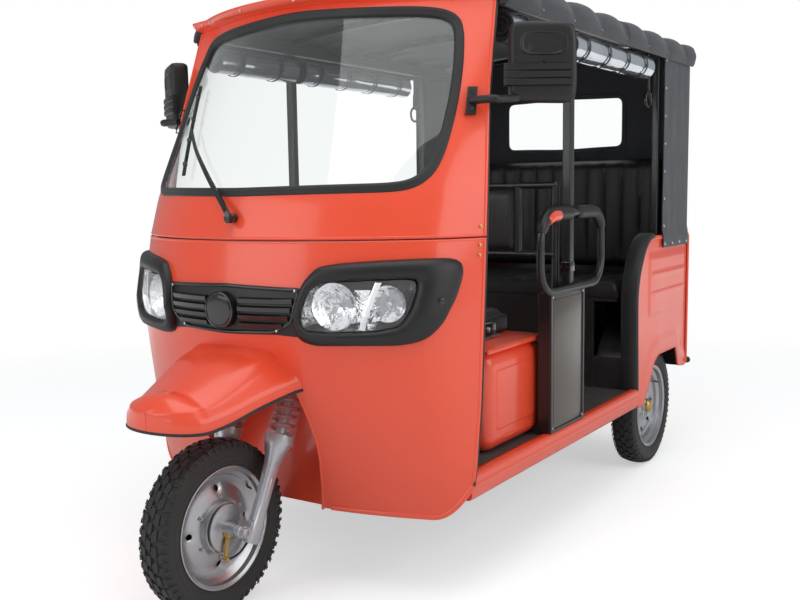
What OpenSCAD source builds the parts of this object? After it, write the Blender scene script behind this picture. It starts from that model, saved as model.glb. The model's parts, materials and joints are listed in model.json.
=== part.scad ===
// Three-wheeled electric auto rickshaw: steel cowl, canvas roof, raked fork, two driven rear wheels.
// Millimetres, +Z up. The nose points to -Y and +X is the driver's left-hand side.

/* [Overall] */
// Width of the body across the door edges
body_w = 1200; // [1080:10:1320]
// Distance between the front and rear axles
wheelbase = 2000; // [1800:10:2400]
// Distance between the middles of the rear tyres
track = 992; // [900:4:1010]
// Height of the lower door sill's underside
sill_z = 290; // [270:5:310]
// Height of the seam between the nose panel and the windscreen panel
seam_z = 1010; // [980:5:1040]
// Height of the roof canvas at its crown
roof_top = 1756; // [1740:2:1800]
// Thickness of the pressed and stiffened body walls
wall = 22; // [12:1:26]

/* [Wheels] */
// Radius of the tyres
tyre_r = 239; // [220:1:250]
// Width of a tyre
tyre_w = 95; // [80:1:105]
// Radius of the rim where the tyre's bead sits
bead_r = 160; // [145:1:165]
// Radius of the rim's flange
flange_r = 167.5; // [166:0.5:175]
// Radius of the front axle
axle_r = 9; // [7:0.5:11]

/* [Steering] */
// Rake of the steering axis from the vertical
rake = 27; // [20:1:30]
// Half the distance between the fork's legs
leg_x = 95; // [85:1:100]
// Radius of a fork leg
leg_r = 19; // [15:1:22]
// Distance of the axle ahead of the steering axis
axle_lead = 60; // [40:1:70]
// Radius of the steering stem
stem_r = 20; // [14:1:22]
// Half the width of the handlebar
bar_x = 300; // [250:5:330]

/* [Windscreen] */
// Height of the lower edge of the windscreen seal
glass_low = 1123; // [1110:1:1130]
// Height of the upper edge of the windscreen seal
glass_top = 1640; // [1600:5:1645]
// Width of the rubber seal round the windscreen
seal_w = 26; // [18:1:32]
// Thickness of the windscreen
glass_t = 6; // [4:0.5:8]

/* [Cabin] */
// Height of the floor plate's top
floor_z = 350; // [340:2:360]
// Thickness of the rubber mat
mat_t = 6; // [4:1:8]
// Height of the driver's seat box
box_h = 300; // [260:5:330]
// Thickness of the driver's seat cushion
seat_t = 80; // [60:5:100]
// Height of the passenger bench board
bench_z = 709; // [680:1:720]
// Thickness of the passenger bench cushion
bench_t = 72; // [50:2:90]
// Height of the belt line where the rear canvas starts
belt_z = 940; // [900:5:960]

/* [Hidden] */

gap = 0.3;                   // running and resting clearance between curved neighbours
clear = 6;                   // clearance of moving pieces
half_w = body_w / 2;
front_y = -262;              // tip of the front mudguard, measured from the front axle
rear_y = wheelbase + 330;    // outside of the rear panel
bumper_y = rear_y + 22;
mid_y = (front_y + bumper_y) / 2;

// Cowl sections. Columns: height, nose y, radius of the nose in plan, half width lost, door edge y.
COWL = [
    [sill_z - 50, 255, 1400, 25, 390],
    [390, 190, 1150, 2, 392],
    [560, 130, 950, 0, 418],
    [722, 85, 850, 0, 430],
    [822, 65, 800, 0, 438],
    [seam_z, 90, 760, 0, 452],
    [glass_low, 128, 760, 3, 464],
    [1373, 268, 790, 20, 503],
    [glass_top, 417, 840, 40, 587],
    [1672, 432, 850, 43, 596]];
corner_run = 90;             // width over which the nose turns into the side
cowl_low = sill_z - 50;
lip_low = 1672;              // roof lip above the windscreen
lip_top = 1700;
lip_out = 34;

function cowl(z, i) = lookup(z, [for (r = COWL) [r[0], r[i]]]);
function mix(a, b, t) = a + (b - a) * t;
function edge_x(z) = half_w - cowl(z, 3);
function arc_x(z) = edge_x(z) - corner_run;
function arc_y(z, x) = cowl(z, 1) + cowl(z, 2) - sqrt(cowl(z, 2) ^ 2 - x ^ 2);
function arc_slope(z) = asin(arc_x(z) / cowl(z, 2));
// Corner control points: the end of the nose arc, a point on its tangent, and the door edge.
function corner(z) = let (
    x0 = arc_x(z), y0 = arc_y(z, x0), x2 = edge_x(z), y2 = cowl(z, 4), d = 0.55 * (x2 - x0))
    [[x0, y0], [x0 + d, y0 + min(d * tan(arc_slope(z)), (y2 - y0) / 2)], [x2, y2]];
function bez(p, t) = (1 - t) ^ 2 * p[0] + 2 * t * (1 - t) * p[1] + t ^ 2 * p[2];
function bez_dir(p, t) = (1 - t) * (p[1] - p[0]) + t * (p[2] - p[1]);
function unit(v) = v / norm(v);
// A point of the cowl at height z: u runs from 0 at the nose to 1 at the corner and 2 at the door edge.
function cowl_pt(z, u, out) = u <= 1
    ? let (a = u * arc_slope(z), r = cowl(z, 2))
        [(r + out) * sin(a), cowl(z, 1) + r - (r + out) * cos(a), z]
    : let (p = corner(z), q = bez(p, u - 1), d = unit(bez_dir(p, u - 1)))
        [q[0] + d[1] * out, min(q[1] - d[0] * out, cowl(z, 4)), z];
function side_pt(z, s, out) = let (p = cowl_pt(z, abs(s), out)) [s < 0 ? -p[0] : p[0], p[1], p[2]];

COWL_U = [-2, -1.8, -1.6, -1.4, -1.2, -1, -0.8, -0.6, -0.4, -0.2, 0,
    0.2, 0.4, 0.6, 0.8, 1, 1.2, 1.4, 1.6, 1.8, 2];

// Steering frame: the axis passes through the wheel's middle height and leans back with the rake.
axis_y = axle_lead / cos(rake);
crown_s = 455;               // lower fork yoke, measured along the steering axis
yoke_t = 26;
head_s = crown_s + yoke_t + 24;
head_len = 100;
stem_top = 800;
spring_s = 352;              // seat of the fork spring
axle_s = -axle_lead * tan(rake);
well_x = 215;                // half width of the recess behind the front wheel
well_top = 700;
well_y = 285;                // back wall of the recess at its foot
dome_x = 132;                // raised roof of the recess, over the fork yoke
dome_y = 130;
dome_top = 740;
head_r = stem_r + gap + 10;  // steering head tube
floor_t = 6;

// Rear body
quarter_t = 24;
quarter_x = half_w - 20;     // outside of the rear quarter
rail_z = 1646;               // underside of the roof rails
rail_x = 545;
rail_h = 28;
post_y = 1072;
floor_y0 = cowl(390, 4);     // foot of the door edge
bench_y0 = wheelbase - 250;
bench_y1 = rear_y - 60;
bench_x = half_w - 108;
box_y0 = 600;
box_y1 = 990;
curtain_r = 45;

module placed() {
    translate([0, -mid_y, 0])
        children();
}

// Puts its children on both sides of the vehicle.
module both() {
    for (s = [0, 1])
        mirror([s, 0, 0])
            children();
}

// Puts its children in the steering frame, whose Z is the steering axis.
module steered() {
    translate([0, axis_y, tyre_r])
        rotate([-rake, 0, 0])
            children();
}

// Stands a side-view outline, given as [y, z], up at x0 with thickness t towards +X.
module side_plate(x0, t) {
    translate([x0, 0, 0])
        rotate([90, 0, 90])
            linear_extrude(t)
                children();
}

// Stands a front-view outline, given as [x, z], up from y0 to y1.
module front_plate(y0, y1) {
    translate([0, y1, 0])
        rotate([90, 0, 0])
            linear_extrude(y1 - y0)
                children();
}

module box(x0, x1, y0, y1, z0, z1) {
    translate([x0, y0, z0])
        cube([x1 - x0, y1 - y0, z1 - z0]);
}

// Bars of round section through a row of points, with a ball at each bend.
module bars(points, r) {
    for (i = [1:len(points) - 1])
        rod(points[i - 1], points[i], r);
    for (i = [1:1:len(points) - 2])
        translate(points[i])
            sphere(r = r + 0.4, $fn = 32);
}

// A bar of round section from p to q.
module rod(p, q, r) {
    d = q - p;
    translate(p)
        rotate([0, acos(d[2] / norm(d)), atan2(d[1], d[0])])
            cylinder(r = r, h = norm(d), $fn = 32);
}

function quads(rows, cols, first, flip) = [
    for (i = [0:rows - 2], j = [0:cols - 2])
        let (a = first + i * cols + j, b = a + 1, c = a + cols, d = c + 1)
            each flip ? [[a, b, d], [a, d, c]] : [[a, d, b], [a, c, d]]];
function strip(a, b, flip) = [
    for (i = [0:len(a) - 2])
        each flip ? [[a[i], a[i + 1], b[i + 1]], [a[i], b[i + 1], b[i]]]
            : [[a[i], b[i + 1], a[i + 1]], [a[i], b[i], b[i + 1]]]];

// A closed shell between two grids of points with the same rows and columns.
module shell(outer, inner) {
    rows = len(outer);
    cols = len(outer[0]);
    n = rows * cols;
    first = [for (j = [0:cols - 1]) j];
    last = [for (j = [0:cols - 1]) (rows - 1) * cols + j];
    left = [for (i = [0:rows - 1]) i * cols];
    right = [for (i = [0:rows - 1]) i * cols + cols - 1];
    polyhedron(
        points = [for (r = outer) each r, for (r = inner) each r],
        faces = concat(
            quads(rows, cols, 0, false),
            quads(rows, cols, n, true),
            strip(first, [for (k = first) k + n], true),
            strip(last, [for (k = last) k + n], false),
            strip(left, [for (k = left) k + n], false),
            strip(right, [for (k = right) k + n], true)));
}

// A layer of the cowl between two heights, from out0 to out1 outside its surface.
module cowl_layer(levels, out0, out1) {
    shell(
        [for (z = levels) [for (u = COWL_U) side_pt(z, u, out1)]],
        [for (z = levels) [for (u = COWL_U) side_pt(z, u, out0)]]);
}

NOSE_Z = [cowl_low, 320, 390, 475, 560, 640, 722, 780, 822, 880, 940, seam_z - 2];
GLASS_Z = [glass_low - 10, glass_low + 60, 1250, 1373, 1500, glass_top - 30, glass_top + 20];
SCREEN_Z = [seam_z, 1060, glass_low, 1250, 1373, 1500, glass_top, lip_low];

// Front view of half of the opening for the wheel's recess, as [half width, height].
WELL = [[205, cowl_low - 40], [well_x, 400], [208, 500], [190, 590], [174, 660], [138, well_top]];
module well_outline(grow) {
    polygon([
        for (p = WELL)
            [-p[0] - grow, p[1] + (p[1] == well_top ? grow : 0)],
        for (i = [len(WELL) - 1:-1:0])
            [WELL[i][0] + grow, WELL[i][1] + (WELL[i][1] == well_top ? grow : 0)]]);
}

// Front view of the windscreen opening, cut back by inset on every side.
GLASS = [[-437, 7], [-480, 24], [-507, 62], [-517, 130], [-516, 260], [-508, 350], [-494, 430], [-478, 478],
    [-444, 505], [-380, 517]];
module glass_outline(inset) {
    h = glass_top - glass_low;
    half = [for (p = GLASS) [p[0] - (half_w - 600), glass_low + p[1] / 517 * h]];
    offset(delta = -inset)
        polygon([each half, [0, glass_top + 16], for (i = [len(half) - 1:-1:0]) [-half[i][0], half[i][1]],
            [0, glass_low]]);
}

module front_panel() {
    color("tomato")
        resize([0, 0, 0])
            difference() {
                cowl_layer(NOSE_Z, -wall, 0);
                front_plate(-100, 600)
                    well_outline(4);
            }
}

// The lip over the windscreen: it leans outwards as it rises.
function lip_rows(t) = [
    for (k = [0, 1])
        [for (u = COWL_U) side_pt(lip_low, u, k * lip_out - t) + [0, 0, k * (lip_top - lip_low)]]];
module windscreen_panel() {
    color("tomato")
        resize([0, 0, 0])
            union() {
                difference() {
                    cowl_layer(SCREEN_Z, -wall, 0);
                    front_plate(-100, 700)
                        glass_outline(0);
                }
                shell(lip_rows(0), lip_rows(wall));
            }
}

module windscreen_seal() {
    color("dimgray")
        resize([0, 0, 0])
            intersection() {
                cowl_layer(GLASS_Z, -wall + 2, 8);
                front_plate(-100, 700)
                    difference() {
                        glass_outline(0);
                        glass_outline(seal_w);
                    }
            }
}

module windscreen() {
    color([0.8, 0.9, 0.95, 0.4])
        resize([0, 0, 0])
            intersection() {
                cowl_layer(GLASS_Z, -glass_t - 6, -6);
                front_plate(-100, 700)
                    glass_outline(seal_w);
            }
}

// The recess behind the front wheel: side walls and roof on the opening's outline, and a raked back wall.
function well_back(z) = well_y + (z - cowl_low) * 0.24;
module well_space(grow, back) {
    intersection() {
        front_plate(60, 600)
            well_outline(grow);
        side_plate(-300, 600)
            polygon([
                [60, cowl_low - 20],
                [well_back(cowl_low - 20) + back, cowl_low - 20],
                [well_back(well_top + grow) + back, well_top + grow],
                [60, well_top + grow]]);
    }
    side_plate(-dome_x - grow, 2 * (dome_x + grow))
        polygon([
            [dome_y - grow, well_top - 30],
            [well_back(well_top - 30) + back - 3, well_top - 30],
            [well_back(dome_top + grow) + back - 3, dome_top + grow],
            [dome_y - grow, dome_top + grow]]);
}
module wheel_well() {
    color("firebrick")
        resize([0, 0, 0])
            intersection() {
                difference() {
                    well_space(4, 4);
                    well_space(0, 0);
                    steered()
                        cylinder(r = head_r + 1, h = 900, $fn = 48);
                }
                hull_core();
            }
}

// Everything behind the cowl's outer surface.
module hull_core() {
    shell(
        [for (z = NOSE_Z) [for (u = COWL_U) side_pt(z, u, 0)]],
        [for (z = NOSE_Z) [for (u = COWL_U) [side_pt(z, u, 0)[0], 700, z]]]);
}

// Front mudguard: a hood that stands out from the nose over the wheel.
// Columns: y, half width at the lip, lip height, half width of the top, top height, crown.
GUARD = [
    [front_y, 92, 566, 72, 604, 612],
    [-226, 132, 560, 104, 600, 620],
    [-170, 148, 556, 114, 606, 638],
    [-80, 164, 572, 120, 642, 666],
    [10, 180, 592, 124, 686, 700],
    [130, 208, 612, 130, 722, 732]];
guard_t = 5;
edging_h = 9;
// Profile of one section, t inside its outer face. The last section follows the nose.
function guard_row(i, t) = let (
    r = GUARD[i],
    w = r[1] - t,
    half = [[w, r[2]], [w - 4, r[2] + 32], [r[3] - t, r[4] - t], [r[3] / 2, mix(r[4], r[5], 0.8) - t]],
    all = [for (p = half) [-p[0], p[1]], [0, r[5] - t], for (k = [3:-1:0]) half[k]],
    last = i == len(GUARD) - 1)
    [for (p = all) [p[0], last ? arc_y(p[1], abs(p[0])) - 0.8 : i == 0 ? r[0] + t : r[0], p[1]]];
module front_mudguard() {
    rows = len(GUARD);
    cols = 9;
    n = rows * cols;
    left = [for (i = [0:rows - 1]) i * cols];
    right = [for (i = [0:rows - 1]) i * cols + cols - 1];
    back = [for (j = [0:cols - 1]) (rows - 1) * cols + j];
    color("coral")
        polyhedron(
            points = [for (t = [0, guard_t], i = [0:rows - 1]) each guard_row(i, t)],
            faces = concat(
                quads(rows, cols, 0, false),
                quads(rows, cols, n, true),
                [for (j = [1:cols - 2]) [0, j, j + 1]],
                [for (j = [1:cols - 2]) [n, n + j + 1, n + j]],
                [[0, cols - 1, n + cols - 1], [0, n + cols - 1, n]],
                strip(back, [for (k = back) k + n], false),
                strip(left, [for (k = left) k + n], false),
                strip(right, [for (k = right) k + n], true)));
}
module mudguard_edging() {
    color("black") {
        for (i = [0:len(GUARD) - 2])
            both()
                edge_piece(guard_row(i, 0)[8], guard_row(i + 1, 0)[8]);
        box(-GUARD[0][1], GUARD[0][1], front_y, front_y + guard_t, GUARD[0][2] - edging_h, GUARD[0][2] - 0.2);
    }
}
// A strip of edging under the mudguard's lip from a to b.
module edge_piece(a, b) {
    polyhedron(
        points = [
            for (p = [a, b], k = [[0, edging_h], [guard_t, edging_h], [guard_t, 0.2], [0, 0.2]])
                p - [k[0], 0, k[1]]],
        faces = [
            [0, 1, 2], [0, 2, 3], [4, 6, 5], [4, 7, 6], [0, 5, 1], [0, 4, 5],
            [1, 6, 2], [1, 5, 6], [2, 7, 3], [2, 6, 7], [3, 4, 0], [3, 7, 4]]);
}

// Front view of one lamp bezel and of the lens in it, as [x, z] from the middle of the vehicle.
BEZEL = [[222, 770], [221, 807], [227, 860], [245, 906], [280, 940], [340, 952], [534, 961], [588, 960],
    [603, 947], [606, 916], [600, 856], [583, 795], [562, 762], [535, 745], [486, 737],
    [272, 735], [236, 746]];
LENS = [[247, 794], [254, 834], [269, 880], [297, 901], [400, 906], [491, 908], [517, 903], [519, 881],
    [506, 823], [475, 789], [423, 779], [326, 775], [256, 778]];
LAMP_Z = [722, 780, 822, 880, 940, seam_z - 2];
bezel_out = 26;
lens_out = 16;

module lamp_fascia() {
    color([0.12, 0.12, 0.13])
        resize([0, 0, 0])
            intersection() {
                cowl_layer(LAMP_Z, 0, bezel_out);
                front_plate(-100, 600)
                    difference() {
                        both_2d() polygon(BEZEL);
                        both_2d() polygon(LENS);
                    }
            }
}
module both_2d() {
    for (s = [0, 1])
        mirror([s, 0])
            children();
}
module headlamps() {
    color("white")
        resize([0, 0, 0])
            intersection() {
                cowl_layer(LAMP_Z, 0, lens_out);
                front_plate(-100, 600)
                    both_2d()
                        polygon(LENS);
            }
}
disc_r = 50;
disc_z = 824;
// Two short ribs stand on each side of the disc.
function rib_rows(z, s, out) = [
    for (h = [-7, 7])
        [for (u = [0.1:0.05:0.36]) side_pt(z + h, s * (s < 0 ? 0.46 - u : u), out)]];
module grille() {
    color([0.15, 0.15, 0.16])
        resize([0, 0, 0])
            union() {
                intersection() {
                    cowl_layer(LAMP_Z, 0, 6);
                    front_plate(-100, 600)
                        difference() {
                            polygon([
                                [-240, 887], [0, 893], [240, 887], [240, 752],
                                [164, 762], [0, 758], [-164, 762], [-240, 752]]);
                            both_2d() polygon(BEZEL);
                        }
                }
                for (s = [-1, 1], z = [790, 845])
                    shell(rib_rows(z, s, 14), rib_rows(z, s, 4));
                translate([0, cowl(disc_z, 1) - 0.4, disc_z])
                    rotate([90, 0, 0])
                        cylinder(r = disc_r, h = 20, $fn = 40);
            }
}

// Wiper: its pivot is in the windscreen panel under the seal. The arm and blade lie along the glass.
module wiper() {
    pivot = cowl_pt(glass_low - 54, 0.02, 0);
    color([0.1, 0.1, 0.1]) {
        rod(pivot + [0, -4.4, 0], pivot + [0, -34, 0], 12);
        bars([pivot + [0, -28, 0], side_pt(1215, -0.3, 22), side_pt(1330, -0.62, 15)], 6);
        rod(side_pt(1190, -0.5, 9), side_pt(1470, -0.78, 9), 6);
    }
}

module dashboard() {
    color([0.2, 0.2, 0.2])
        resize([0, 0, 0])
            shell(
                [for (z = [880, 940, seam_z - 2]) [for (u = COWL_U) if (abs(u) <= 1) side_pt(z, u, -wall)]],
                [for (z = [880, 940, seam_z - 2]) [for (u = COWL_U) if (abs(u) <= 1)
                    let (p = side_pt(z, u, -wall)) [p[0], 350, z]]]);
}

// Chassis: two side rails with a step up behind the doorways, cross members and the steering head.
frame_x = 330;
frame_w = 50;
frame_h = 54;
rail_in = frame_x - frame_w / 2;
frame_z = floor_z - floor_t - frame_h;
step_y = bench_y0 - 30;
deck_z = floor_z - floor_t + frame_h;
module chassis_frame() {
    color([0.15, 0.15, 0.15]) {
        difference() {
            union() {
                both() {
                    box(rail_in, rail_in + frame_w, 440, step_y + frame_w, frame_z, frame_z + frame_h);
                    box(rail_in, rail_in + frame_w, step_y, rear_y - quarter_t, frame_z + frame_h, deck_z);
                }
                for (y = [440, post_y - 25, step_y])
                    box(-frame_x, frame_x, y, y + frame_w, frame_z, frame_z + frame_h);
                translate([0, rear_y - quarter_t, 0])
                    box(-frame_x, frame_x, -40, 0, frame_z + frame_h, deck_z);
                for (s = [0, 1])
                    mirror([s, 0, 0])
                        side_plate(head_r - 8, 6)
                            polygon([
                                [440, frame_z],
                                [490, frame_z],
                                [490, frame_z + frame_h],
                                [446, dome_top + 26],
                                [head_y(head_s + 95), head_z(head_s + 95)],
                                [head_y(head_s + 68), head_z(head_s + 68)],
                                [well_back(dome_top) + 12, dome_top + 10],
                                [well_back(dome_top) + 10, well_top]]);
                steered()
                    translate([0, 0, head_s])
                        cylinder(r = head_r, h = head_len, $fn = 48);
            }
            steered()
                translate([0, 0, head_s - 20])
                    cylinder(r = stem_r + gap, h = head_len + 40, $fn = 48);
        }
    }
}
function head_y(s) = axis_y + s * sin(rake);
function head_z(s) = tyre_r + s * cos(rake);

// Plan of the floor: it follows the inside of the nose and leaves a notch for the wheel's recess.
module floor_outline(z, inset) {
    difference() {
        polygon([
            for (u = COWL_U)
                let (p = side_pt(z, u, -wall - inset))
                    [max(-floor_x + inset, min(floor_x - inset, p[0])), min(p[1], floor_y0)],
            [floor_x - inset, step_y - inset],
            [-floor_x + inset, step_y - inset]]);
        translate([-well_x - 5, 0])
            square([2 * (well_x + 5), well_back(z) + 6 + inset]);
        translate([-head_r - 1, 430])
            square([2 * head_r + 2, 61]);
    }
}
floor_x = half_w - 55;
house_x = 398;
module floor_plate() {
    color([0.2, 0.2, 0.2]) {
        translate([0, 0, floor_z - floor_t])
            linear_extrude(floor_t)
                floor_outline(floor_z - floor_t, 2);
        box(-house_x, house_x, step_y + frame_w, rear_y - quarter_t, deck_z, deck_z + floor_t);
    }
}
module floor_mat() {
    color([0.1, 0.1, 0.12])
        translate([0, 0, floor_z])
            linear_extrude(mat_t)
                difference() {
                    floor_outline(floor_z, 5);
                    translate([-head_r - 6, 0])
                        square([2 * head_r + 12, 500]);
                }
}

sill_top = floor_z + 13;
module sills() {
    color("tomato")
        both()
            front_plate(floor_y0, step_y - 0.5)
                polygon([
                    for (p = [
                        [55, floor_z - 20], [55, floor_z + 1], [48, sill_top], [26, sill_top],
                        [18, sill_top - 14], [18, sill_z + 12], [30, sill_z], [50, sill_z + 4]])
                        [half_w - p[0], p[1]]]);
}

// Side posts between the doorways, each with a boxed panel round its foot.
panel_y0 = 912;
panel_y1 = 1178;
panel_top = 812;
module side_post() {
    color([0.2, 0.19, 0.18]) {
        box(half_w - 66, half_w - 21, panel_y0, panel_y1, sill_top, panel_top);
        box(half_w - 50, half_w - 20, post_y - 15, post_y + 15, panel_top, rail_z);
    }
}
module side_posts() {
    both()
        side_post();
}

// Grab loops: a round tube bent into a rounded rectangle that stands on the boxed panel.
loop_r = 12;
loop_y0 = 806;
loop_y1 = 1290;
loop_top = 1058;
loop_bend = 60;
loop_x = half_w - 20 + loop_r + gap;
module bend(y, z, from) {
    translate([loop_x, y, z])
        rotate([90, 0, 90])
            rotate([0, 0, from])
                rotate_extrude(angle = 90, $fn = 48)
                    translate([loop_bend, 0])
                        circle(r = loop_r, $fn = 32);
}
module grab_loop() {
    z0 = panel_top + loop_r - 6;
    color([0.12, 0.12, 0.12]) {
        rod([loop_x, loop_y0 + loop_bend, loop_top], [loop_x, loop_y1 - loop_bend, loop_top], loop_r);
        rod([loop_x, loop_y0 + loop_bend, z0], [loop_x, loop_y1 - loop_bend, z0], loop_r);
        rod([loop_x, loop_y0, z0 + loop_bend], [loop_x, loop_y0, loop_top - loop_bend], loop_r);
        rod([loop_x, loop_y1, z0 + loop_bend], [loop_x, loop_y1, loop_top - loop_bend], loop_r);
        bend(loop_y1 - loop_bend, loop_top - loop_bend, 0);
        bend(loop_y0 + loop_bend, loop_top - loop_bend, 90);
        bend(loop_y0 + loop_bend, z0 + loop_bend, 180);
        bend(loop_y1 - loop_bend, z0 + loop_bend, 270);
    }
}
module grab_loops() {
    both()
        grab_loop();
}

// Roof: side rails, rear posts and arched bows. The canvas rests on the bows.
canopy_t = 8;
bow_r = 3300;
bow_top = roof_top - canopy_t - 1;
rail_y0 = cowl(lip_low, 4);
rail_y1 = rear_y - 8;
c_post_y = wheelbase - 30;
module bow(y) {
    front_plate(y, y + 24)
        intersection() {
            difference() {
                translate([0, bow_top - bow_r])
                    circle(r = bow_r, $fn = 200);
                translate([0, bow_top - 22 - bow_r])
                    circle(r = bow_r, $fn = 200);
            }
            translate([-rail_x, rail_z])
                square([2 * rail_x, roof_top - rail_z]);
        }
}
module roof_frame() {
    color([0.1, 0.1, 0.1]) {
        both() {
            box(rail_x - 14, rail_x + 14, rail_y0, rail_y1, rail_z, rail_z + rail_h + 16);
            box(rail_x - 14, rail_x + 14, rail_y1 - 26, rail_y1, belt_z, rail_z);
            box(rail_x - 14, rail_x + 14, c_post_y, c_post_y + 26, belt_z, rail_z);
        }
        for (y = [rail_y0 + 140, post_y - 12, 1560, rail_y1 - 26])
            bow(y);
        box(-rail_x, rail_x, rail_y1 - 26, rail_y1, belt_z, belt_z + 26);
    }
}

// The roof canvas: one crowned sheet whose sides turn down outside the rails.
quarter_in = quarter_x - quarter_t;
canopy_x = quarter_x;
flange_z = 1655;
CANOPY_V = [-1, -0.99, -0.94, -0.8, -0.6, -0.4, -0.2, 0, 0.2, 0.4, 0.6, 0.8, 0.94, 0.99, 1];
CANOPY_Y = [0, 0.025, 0.045, 0.07, 0.3, 0.6, 0.85, 1];
roof_rise = 0.07;            // share of the roof's length over which the canvas rises to its crown
function crown(x, t) = roof_top - t - bow_r + sqrt(bow_r ^ 2 - x ^ 2);
function behind_lip(x) = let (r = cowl(lip_low, 2))
    min(rail_y0 + 2, cowl(lip_low, 1) + r + 1 - sqrt((r - wall) ^ 2 - x ^ 2));
// v runs across the roof, k along it, and t is the depth below the outer surface.
function canopy_pt(v, k, t) = let (a = abs(v), x = a >= 0.99 ? canopy_x - t : a * canopy_x)
    [sign(v) * x, mix(behind_lip(x), rear_y, k),
        a == 1 ? flange_z : a == 0.99 ? rail_z + rail_h + 26 - t
            : mix(max(lip_top, crown(x, 0) - 40), crown(x, 0), min(1, k / roof_rise)) - t];
module canopy() {
    color([0.15, 0.15, 0.17])
        resize([0, 0, 0])
            shell([for (k = CANOPY_Y) [for (v = CANOPY_V) canopy_pt(v, k, 0)]],
                [for (k = CANOPY_Y) [for (v = CANOPY_V) canopy_pt(v, k, canopy_t)]]);
}

// Rear canvas: side valances behind the doorways and the back wall with its window.
canvas_t = 6;
valance_y = wheelbase - 20;
window_x = 277;
window_z0 = 1311;
window_z1 = 1533;
module window_outline(grow) {
    r = 40;
    translate([-window_x + r, window_z0 + r])
        rounded(2 * (window_x - r), window_z1 - window_z0 - 2 * r, r + grow);
}
module rounded(w, h, r) {
    translate([-r, 0])
        square([w + 2 * r, h]);
    translate([0, -r])
        square([w, h + 2 * r]);
    for (x = [0, w], z = [0, h])
        translate([x, z])
            circle(r = r, $fn = 32);
}
module rear_canvas() {
    color([0.18, 0.18, 0.2]) {
        both()
            box(quarter_x - canvas_t, quarter_x, valance_y, rear_y, belt_z, flange_z);
        difference() {
            front_plate(rear_y - canvas_t, rear_y) {
                    translate([-quarter_x + canvas_t, belt_z])
                        square([2 * (quarter_x - canvas_t), flange_z - belt_z]);
                    intersection() {
                        translate([-rail_x, belt_z])
                            square([2 * rail_x, roof_top - belt_z]);
                        translate([0, roof_top - canopy_t - 1 - bow_r])
                            circle(r = bow_r, $fn = 200);
                    }
                }
            front_plate(rear_y - 60, rear_y + 20)
                window_outline(0);
        }
    }
}
module rear_window() {
    color([0.8, 0.9, 0.95, 0.4])
        front_plate(rear_y - 4, rear_y - 2)
            window_outline(0);
}

// Side curtains, rolled up and strapped under the roof rails, one roll for each doorway.
CURTAIN = [[640, post_y - 22], [post_y + 22, 1830]];
module side_curtain() {
    color([0.7, 0.75, 0.78])
        for (c = CURTAIN)
            for (z = [rail_z - curtain_r - gap])
                rod([rail_x, c[0], z], [rail_x, c[1], z], curtain_r);
}
module side_curtains() {
    both()
        side_curtain();
}

// Hanging grab rings on straps.
ring_y = 1905;
module hanging_rings() {
    color([0.3, 0.3, 0.3])
        both() {
            box(rail_x - 8, rail_x - 5, ring_y - 9, ring_y + 9, 1508, rail_z);
            translate([rail_x - 6.5, ring_y, 1474])
                rotate([0, 90, 0])
                    rotate_extrude($fn = 48)
                        translate([30, 0])
                            circle(r = 5, $fn = 24);
        }
}

// A box whose upright edges are rounded to r.
module round_box(x0, x1, y0, y1, z0, z1, r) {
    translate([0, 0, z0])
        linear_extrude(z1 - z0)
            translate([x0 + r, y0 + r])
                rounded(x1 - x0 - 2 * r, y1 - y0 - 2 * r, r);
}
box_x = half_w - 82;
box_z0 = floor_z + mat_t;
box_z1 = box_z0 + box_h;
module driver_seat_box() {
    color("tomato") {
        round_box(-box_x, box_x, box_y0 + 12, box_y1, box_z0, box_z1, 55);
        round_box(-box_x - 8, box_x + 8, box_y0, box_y1, box_z1, box_z1 + 18, 62);
    }
}
seat_z0 = box_z1 + 18;
module driver_seat() {
    color([0.13, 0.13, 0.14])
        round_box(-box_x + 40, box_x - 160, box_y0 + 90, box_y1 + 50, seat_z0, seat_z0 + seat_t, 40);
}
module hand_brake() {
    x = box_x - 110;
    color([0.1, 0.1, 0.1]) {
        box(x - 25, x + 25, box_y0 + 120, box_y0 + 260, seat_z0, seat_z0 + 50);
        rod([x, box_y0 + 190, seat_z0 + 44], [x, box_y0 + 20, seat_z0 + 22], 13);
    }
}

// Partition behind the driver: a tube frame that stands on the floor, with the driver's backrest in it.
part_y = post_y - 12;
tube = 24;
part_x = half_w - 66 - tube / 2;
pad_z0 = 932;
pad_z1 = 1134;
pad_x = 389;
module partition() {
    color([0.12, 0.12, 0.12])
        difference() {
            box(-part_x - tube / 2, part_x + tube / 2, part_y, part_y + tube, box_z0, pad_z1 + tube);
            for (k = [
                [-part_x, part_x, box_z0 - 1, pad_z0 - tube],
                [-pad_x, pad_x, pad_z0, pad_z1],
                [pad_x, part_x, pad_z0, pad_z1],
                [-part_x, -pad_x, pad_z0, pad_z1]])
                box(k[0] + tube / 2, k[1] - tube / 2, part_y - 1, part_y + tube + 1, k[2], k[3]);
        }
}
module driver_backrest() {
    color([0.15, 0.15, 0.16])
        for (x = [pad_x - tube / 2 - gap])
            box(-x, x, part_y - 8, part_y + 30, pad_z0 + gap, pad_z1 - gap);
}

// Passenger bench: a front panel between the wheel houses and a board over them.
board_t = 12;
module rear_bench_base() {
    color([0.15, 0.15, 0.15]) {
        box(-house_x - 1, house_x + 1, step_y - 12, step_y, box_z0, bench_z - board_t);
        box(-bench_x, bench_x, step_y - 12, bench_y1, bench_z - board_t, bench_z);
    }
}
module rear_bench_cushion() {
    color([0.12, 0.12, 0.13])
        box(-bench_x, bench_x, bench_y0 - 24, bench_y1 - 90, bench_z + gap, bench_z + gap + bench_t);
}
module rear_backrest() {
    color([0.12, 0.12, 0.13])
        box(-bench_x, bench_x, bench_y1 - 88, bench_y1 + 26, bench_z + bench_t + 8, 1255);
}

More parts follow.
